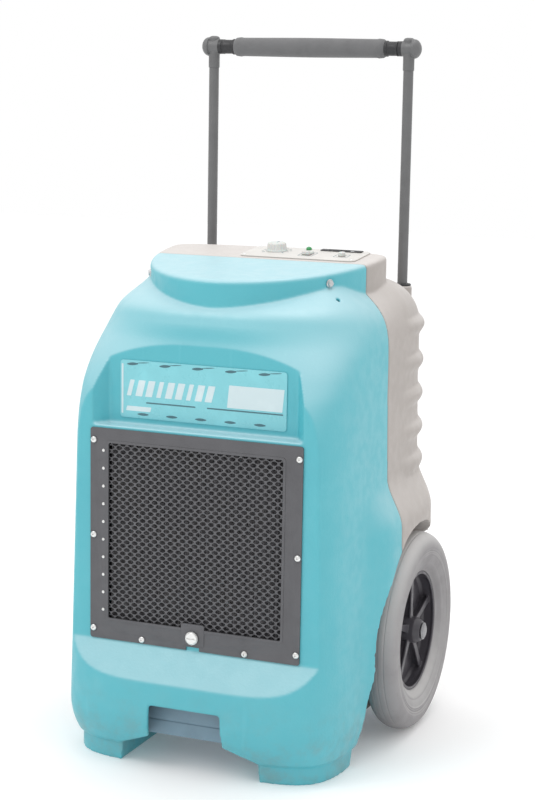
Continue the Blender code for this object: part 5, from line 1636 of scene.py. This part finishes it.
# ------------------------------------------------------------------ fan
def make_fan():
    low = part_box("fan_blade")[0]
    parts = []
    hub = [(0.0045, 0), (0.0235, 0), (0.026, 0.004), (0.026, 0.022), (0.0215, 0.026), (0.0045, 0.026)]
    parts.append(turned("hub", hub, (0, low.y, FAN.z), (0, 1, 0), 64, 0.0012, 3))
    mid_y = 0.160
    root, length = 0.0225, 0.0985
    for k in range(FAN_BLADES):
        spin = Matrix.Rotation(radians(360 / FAN_BLADES * k), 4, "Y")
        rings = []
        for step in range(19):
            s = step / 18
            r = root + length * s
            chord = 0.036 + 0.014 * s
            pitch = radians(40 - 17 * s)
            ring = []
            for m in range(24):
                turn = 2 * pi * m / 24
                u = 0.5 * chord * cos(turn)
                v = 0.0013 * sin(turn) + 0.0045 * (1 - (2 * u / chord) ** 2)
                sweep = 0.010 * s * s
                x = u * cos(pitch) - v * sin(pitch) + sweep
                y = u * sin(pitch) + v * cos(pitch)
                bend = sqrt(max(r * r - x * x, 0.0))
                ring.append(Vector((0, mid_y, FAN.z)) + spin @ Vector((x, y, bend)))
            rings.append(ring)
        parts.append(loft("blade", rings))
    fan = parts[0]
    combine(fan, parts[1:], "UNION")
    piece(fan, "axial_fan", "fan_blade", BLACK, 45)


def make_fan_housing():
    low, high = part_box("fan_shroud")
    outline = box_outline(low, high, "xz", 0, 0.010)
    plate = prism("plate", outline, "Y", low.y, low.y + 0.0030)
    ring_in, ring_out = 0.1332, 0.1370
    deep = high.y - low.y
    mouth = [(ring_in, 0.0), (ring_out, 0.0), (ring_out, deep - 0.006), (ring_out + 0.003, deep),
             (ring_in + 0.002, deep), (ring_in, deep - 0.008)]
    ring = turned("mouth", mouth, (0, low.y, FAN.z), (0, 1, 0), 128)
    combine(plate, [rod("bore", (0, 0.10, FAN.z), (0, 0.25, FAN.z), 0.1350, 128)])
    combine(plate, [ring], "UNION")
    bosses = []
    boss = [(0, 0), (0.007, 0), (0.006, 0.012), (0, 0.012)]
    for sx, sz in CORNERS:
        spot = (sx * 0.128, low.y, FAN.z + sz * 0.126)
        bosses.append(turned("boss", boss, spot, (0, 1, 0), 32, 0.0008, 2))
    combine(plate, bosses, "UNION")
    bevelled(plate, 0.0005, 2, 40)
    piece(plate, "fan_ring", "fan_shroud", BLACK, 40)


def make_fan_motor():
    low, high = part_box("fan_motor")
    back = 0.140
    shape = [(0, -0.048), (0.012, -0.048), (0.014, -0.046), (0.031, -0.045), (0.0365, -0.040),
             (0.038, -0.036)]
    for k in range(9):
        y = -0.033 + k * 0.0034
        shape += [(0.038, y), (0.0362, y + 0.0007), (0.0362, y + 0.0017), (0.038, y + 0.0024)]
    shape += [(0.038, -0.002), (0.036, 0.0), (0.010, 0.0), (0.009, 0.002), (0.004, 0.002),
              (0.004, 0.020), (0, 0.020)]
    motor = turned("motor", shape, (0, back, FAN.z), (0, 1, 0), 96, 0.0003, 2)
    piece(motor, "shaded_motor", "fan_motor", CHASSIS, 40)
    low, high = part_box("motor_bracket")
    arm = prism("arm", round_rectangle((low.x, high.x), about(FAN.z, 0.012), 0.004), "Y", 0.1002, 0.1038)
    strap = prism("strap", round_rectangle((-0.046, 0.046), about(FAN.z, 0.046), 0.016), "Y", 0.1005, 0.1035)
    combine(arm, [strap], "UNION")
    holes = [rod("ring", (0, 0.05, FAN.z), (0, 0.2, FAN.z), 0.0385, 96)]
    for side in (-1, 1):
        slot = round_rectangle(sorted((side * 0.060, side * 0.125)), about(FAN.z, 0.004), 0.0039)
        holes.append(prism("slot", slot, "Y", 0.05, 0.2))
        holes.append(rod("screw", (side * 0.138, 0.05, FAN.z), (side * 0.138, 0.2, FAN.z), 0.0024))
    combine(arm, holes)
    bevelled(arm, 0.0004, 2, 40)
    piece(arm, "motor_carrier", "motor_bracket", ZINC)


# ------------------------------------------------------------------ condensate pump and electrics
def make_pump():
    low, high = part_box("pump_reservoir")
    outline = box_outline(low, high, "xy", 0.0015, 0.008)
    tank = prism("tank", outline, "Z", low.z, high.z)
    lip = prism("lip", box_outline(low, high, "xy", 0, 0.009), "Z", high.z - 0.004, high.z)
    combine(tank, [lip], "UNION")
    inside = box_outline(low, high, "xy", 0.004, 0.006)
    combine(tank, [prism("inside", inside, "Z", low.z + 0.003, 0.2)])
    bevelled(tank, 0.0006, 2)
    piece(tank, "condensate_tank", "pump_reservoir", PALE)
    low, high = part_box("condensate_pump")
    centre = ((low.x + high.x) / 2, (low.y + high.y) / 2, low.z)
    shape = [(0, 0), (0.005, 0), (0.006, 0.002), (0.006, 0.039), (0.024, 0.041), (0.026, 0.044)]
    for k in range(6):
        z = 0.047 + k * 0.0065
        shape += [(0.026, z), (0.0238, z + 0.0010), (0.0238, z + 0.0030), (0.026, z + 0.0040)]
    shape += [(0.026, 0.089), (0.022, 0.094), (0.012, 0.0975), (0, 0.098)]
    pump = turned("pump", shape, centre, (0, 0, 1), 64, 0.0005, 2)
    piece(pump, "submersible_pump", "condensate_pump", BLACK, 40)
    low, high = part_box("pump_float")
    centre = ((low.x + high.x) / 2, (low.y + high.y) / 2, low.z)
    shape = [(0, 0), (0.0095, 0), (0.012, 0.0020), (0.012, 0.0050), (0.0112, 0.0060),
             (0.012, 0.0070), (0.012, 0.0100), (0.0095, 0.0120), (0, 0.0120)]
    ball = turned("float", shape, centre, (0, 0, 1), 56, 0.0008, 3)
    piece(ball, "switch_float", "pump_float", PALE)


def make_electrical_box():
    low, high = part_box("electrical_box")
    lid_y = low.y + 0.010
    case = block("case", (low.x + 0.001, lid_y + 0.0004, low.z + 0.001),
                 (high.x - 0.001, high.y, high.z - 0.001), 0.004, 4)
    lid = block("lid", (low.x, low.y, low.z), (high.x, lid_y, high.z), 0.003, 4)
    vents = []
    for k in range(7):
        z = low.z + 0.024 + k * 0.007
        vent = round_rectangle((low.x + 0.035, high.x - 0.035), about(z, 0.0014), 0.0013, 4)
        vents.append(prism("vent", vent, "Y", low.y - 0.01, low.y + 0.003))
    combine(lid, vents)
    parts = [coloured(case, CHASSIS), coloured(lid, CHASSIS)]
    for x in (low.x + 0.010, high.x - 0.010):
        for z in (low.z + 0.010, high.z - 0.010):
            head = turned("screw", [(0, 0), (0.0035, 0), (0.0035, 0.0008), (0.0022, 0.0018), (0, 0.0019)],
                          (x, low.y + 0.0006, z), (0, -1, 0), 32, 0.0003, 2)
            head.data.transform(Matrix.Translation((0, 0.0014, 0)))
            parts.append(coloured(head, ZINC))
    piece(join("box", parts), "control_box", "electrical_box", None, 40)


# ------------------------------------------------------------------ rear fittings
def make_exhaust_grille():
    """Moulded outlet grille with sloping vanes between a frame and two mullions."""
    low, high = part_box("exhaust_grille")
    flange_y = high.y - 0.003
    frame = prism("frame", box_outline(low, high, "xz", 0, 0.014), "Y", flange_y, high.y)
    sleeve = round_rectangle((-0.1215, 0.1215), (0.2785, 0.5215), 0.011)
    combine(frame, [prism("sleeve", sleeve, "Y", low.y, high.y - 0.0010)], "UNION")
    inside = round_rectangle((-0.1165, 0.1165), (0.2835, 0.5165), 0.007)
    combine(frame, [prism("inside", inside, "Y", 0.1, 0.3)])
    vanes = []
    count = 15
    pitch = 0.233 / count
    for k in range(count):
        z = 0.2835 + (k + 0.5) * pitch
        lean = 0.0052
        outline = [(low.y + 0.0020, z + lean), (low.y + 0.0020, z + lean + 0.0016),
                   (high.y - 0.0016, z - lean + 0.0022), (high.y - 0.0016, z - lean)]
        vanes.append(prism("vane", rounded(outline, 0.0007, 3), "X", -0.1175, 0.1175))
    for x in (-0.040, 0.040):
        vanes.append(block("mullion", (x - 0.0014, low.y + 0.002, 0.280),
                           (x + 0.0014, high.y - 0.0040, 0.520), 0.0006, 2))
    combine(frame, vanes, "UNION")
    seats = []
    spots = [Vector((sx * 0.1195, high.y, middle("exhaust_grille").z + sz * 0.1195)) for sx, sz in CORNERS]
    for spot in spots:
        seats.append(turned("seat", [(0, -0.0015), (0.0042, -0.0015), (0.0048, 0.001), (0, 0.001)],
                            spot, (0, 1, 0), 32))
    combine(frame, seats)
    bevelled(frame, 0.0005, 2, 45)
    piece(frame, "outlet_grille", "exhaust_grille", BLACK, 40)
    screws = []
    for spot in spots:
        seat = spot - Vector((0, 0.0015, 0))
        head = turned("screw", [(0, 0), (0.0037, 0), (0.0037, 0.0006), (0.0022, 0.0014), (0, 0.0015)],
                      seat, (0, 1, 0), 32, 0.0003, 2)
        combine(head, cross_recess(seat + Vector((0, 0.0014, 0)), (0, 1, 0), 0.0013, 0.00035, 0.0008))
        screws.append(head)
    fitting(join("screws", screws), "outlet_screws", ZINC)


def make_rear_connections():
    low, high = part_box("drain_outlet")
    x, z = (low.x + high.x) / 2, (low.z + high.z) / 2
    shape = [(0.0040, -0.030), (0.0110, -0.030), (0.0110, 0.0015), (0.0165, 0.0015), (0.0165, 0.0045),
             (0.0085, 0.0048), (0.0085, 0.0056), (0.0074, 0.0060), (0.0088, 0.0082), (0.0074, 0.0086),
             (0.0086, 0.0106), (0.0072, 0.0120), (0.0040, 0.0120)]
    outlet = turned("outlet", shape, (x, REAR_Y, z), (0, 1, 0), 64, 0.0003, 2)
    piece(outlet, "hose_barb", "drain_outlet", BRASS)
    low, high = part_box("power_inlet")
    x, z = (low.x + high.x) / 2, (low.z + high.z) / 2
    shape = [(0, -0.024), (0.0115, -0.024), (0.0115, 0.0015), (0.0190, 0.0015), (0.0190, 0.0045),
             (0.0175, 0.0060), (0.0135, 0.0064), (0.0130, 0.0080), (0.0112, 0.0080), (0.0108, -0.012),
             (0, -0.012)]
    body = coloured(turned("inlet", shape, (x, REAR_Y, z), (0, 1, 0), 64, 0.0005, 3), BLACK)
    parts = [body]
    for dx, dz in ((-0.0048, -0.002), (0.0048, -0.002), (0.0, 0.0050)):
        pin = block("pin", (x + dx - 0.0010, REAR_Y - 0.014, z + dz - 0.0024),
                    (x + dx + 0.0010, REAR_Y + 0.003, z + dz + 0.0024), 0.0005, 2)
        parts.append(coloured(pin, BRASS))
    piece(join("inlet", parts), "flanged_inlet", "power_inlet")


# ------------------------------------------------------------------ floor, light and camera
def area_light(name, place, target, size, power):
    data = bpy.data.lights.new(name, "AREA")
    data.size = size
    data.energy = power
    obj = bpy.data.objects.new(name, data)
    obj.location = place
    bpy.context.scene.collection.objects.link(obj)
    obj.rotation_euler = (Vector(target) - obj.location).to_track_quat("-Z", "Y").to_euler()


def make_floor():
    bm = bmesh.new()
    bmesh.ops.create_grid(bm, x_segments=1, y_segments=1, size=9.0)
    floor = from_bmesh("floor", bm)
    floor.location.z = -0.0002
    look = Look("pale_floor", (0.93, 0.93, 0.93), 0.7)
    look.stain((0.90, 0.90, 0.90), 0.1, (0.3, 0.8), 3.0, 2.0)
    look.set(Emission_Color=(1.0, 1.0, 1.0, 1.0), Emission_Strength=0.10)
    coloured(floor, look.done())


def make_light():
    """Soft studio: white all round behind, dimmer in front, with a bright ceiling."""
    world = bpy.data.worlds.new("studio")
    world.use_nodes = True
    nodes, links = world.node_tree.nodes, world.node_tree.links
    nodes["Background"].inputs["Color"].default_value = (1.0, 1.0, 1.0, 1)
    place = nodes.new("ShaderNodeTexCoord")
    parts = nodes.new("ShaderNodeSeparateXYZ")
    links.new(place.outputs["Generated"], parts.inputs[0])
    behind = nodes.new("ShaderNodeMapRange")
    overhead = nodes.new("ShaderNodeMapRange")
    for node, axis, start, end, low, high in ((behind, "Y", -0.3, 0.5, FRONT_LIGHT, 1.0),
                                              (overhead, "Z", 0.35, 0.95, 0.0, CEILING_LIGHT)):
        for key, number in (("From Min", start), ("From Max", end), ("To Min", low), ("To Max", high)):
            node.inputs[key].default_value = number
        links.new(parts.outputs[axis], node.inputs["Value"])
    total = nodes.new("ShaderNodeMath")
    links.new(behind.outputs[0], total.inputs[0])
    links.new(overhead.outputs[0], total.inputs[1])
    links.new(total.outputs[0], nodes["Background"].inputs["Strength"])
    bpy.context.scene.world = world
    centre = (0, 0, 0.5)
    area_light("key", (-1.2, -1.6, 3.2), centre, 1.4, KEY_POWER)
    area_light("top", (0.4, 0.4, 3.2), centre, 1.6, TOP_POWER)


def make_camera():
    """Portrait view from the front right, a little above the housing."""
    turn, tilt, roll = CAMERA_TURN, CAMERA_TILT, CAMERA_ROLL
    back = Vector((sin(turn) * cos(tilt), -cos(turn) * cos(tilt), sin(tilt)))
    level = Vector((cos(turn), sin(turn), 0))
    upright = back.cross(level)
    right = cos(roll) * level + sin(roll) * upright
    up = cos(roll) * upright - sin(roll) * level
    data = bpy.data.cameras.new("camera")
    data.lens = CAMERA_LENS
    data.sensor_width = 36
    camera = bpy.data.objects.new("camera", data)
    bpy.context.scene.collection.objects.link(camera)
    place = Matrix((right, up, back)).transposed().to_4x4()
    place.translation = CAMERA_PLACE
    camera.matrix_world = place
    bpy.context.scene.camera = camera


def main():
    make_front_housing()
    make_rear_housing()
    make_grille_frame()
    make_expanded_mesh()
    make_mesh_rivets()
    make_grille_screws()
    make_latch()
    make_filter()
    make_nameplate()
    make_neck_bolts()
    make_control_panel()
    make_meter()
    make_panel_controls()
    make_humidity_knob()
    make_button()
    make_handle()
    make_handle_guides()
    make_tyres()
    make_rims()
    make_axle()
    make_chassis()
    make_coil("evaporator_coil", "evaporator_fins", 3, ALUMINIUM)
    make_coil("condenser_coil", "condenser_fins", 2, ALUMINIUM)
    make_drip_tray()
    make_compressor()
    make_refrigerant_lines()
    make_fan()
    make_fan_housing()
    make_fan_motor()
    make_pump()
    make_electrical_box()
    make_exhaust_grille()
    make_rear_connections()
    make_floor()
    make_light()
    make_camera()
    bpy.context.scene.view_settings.view_transform = "Standard"


main()
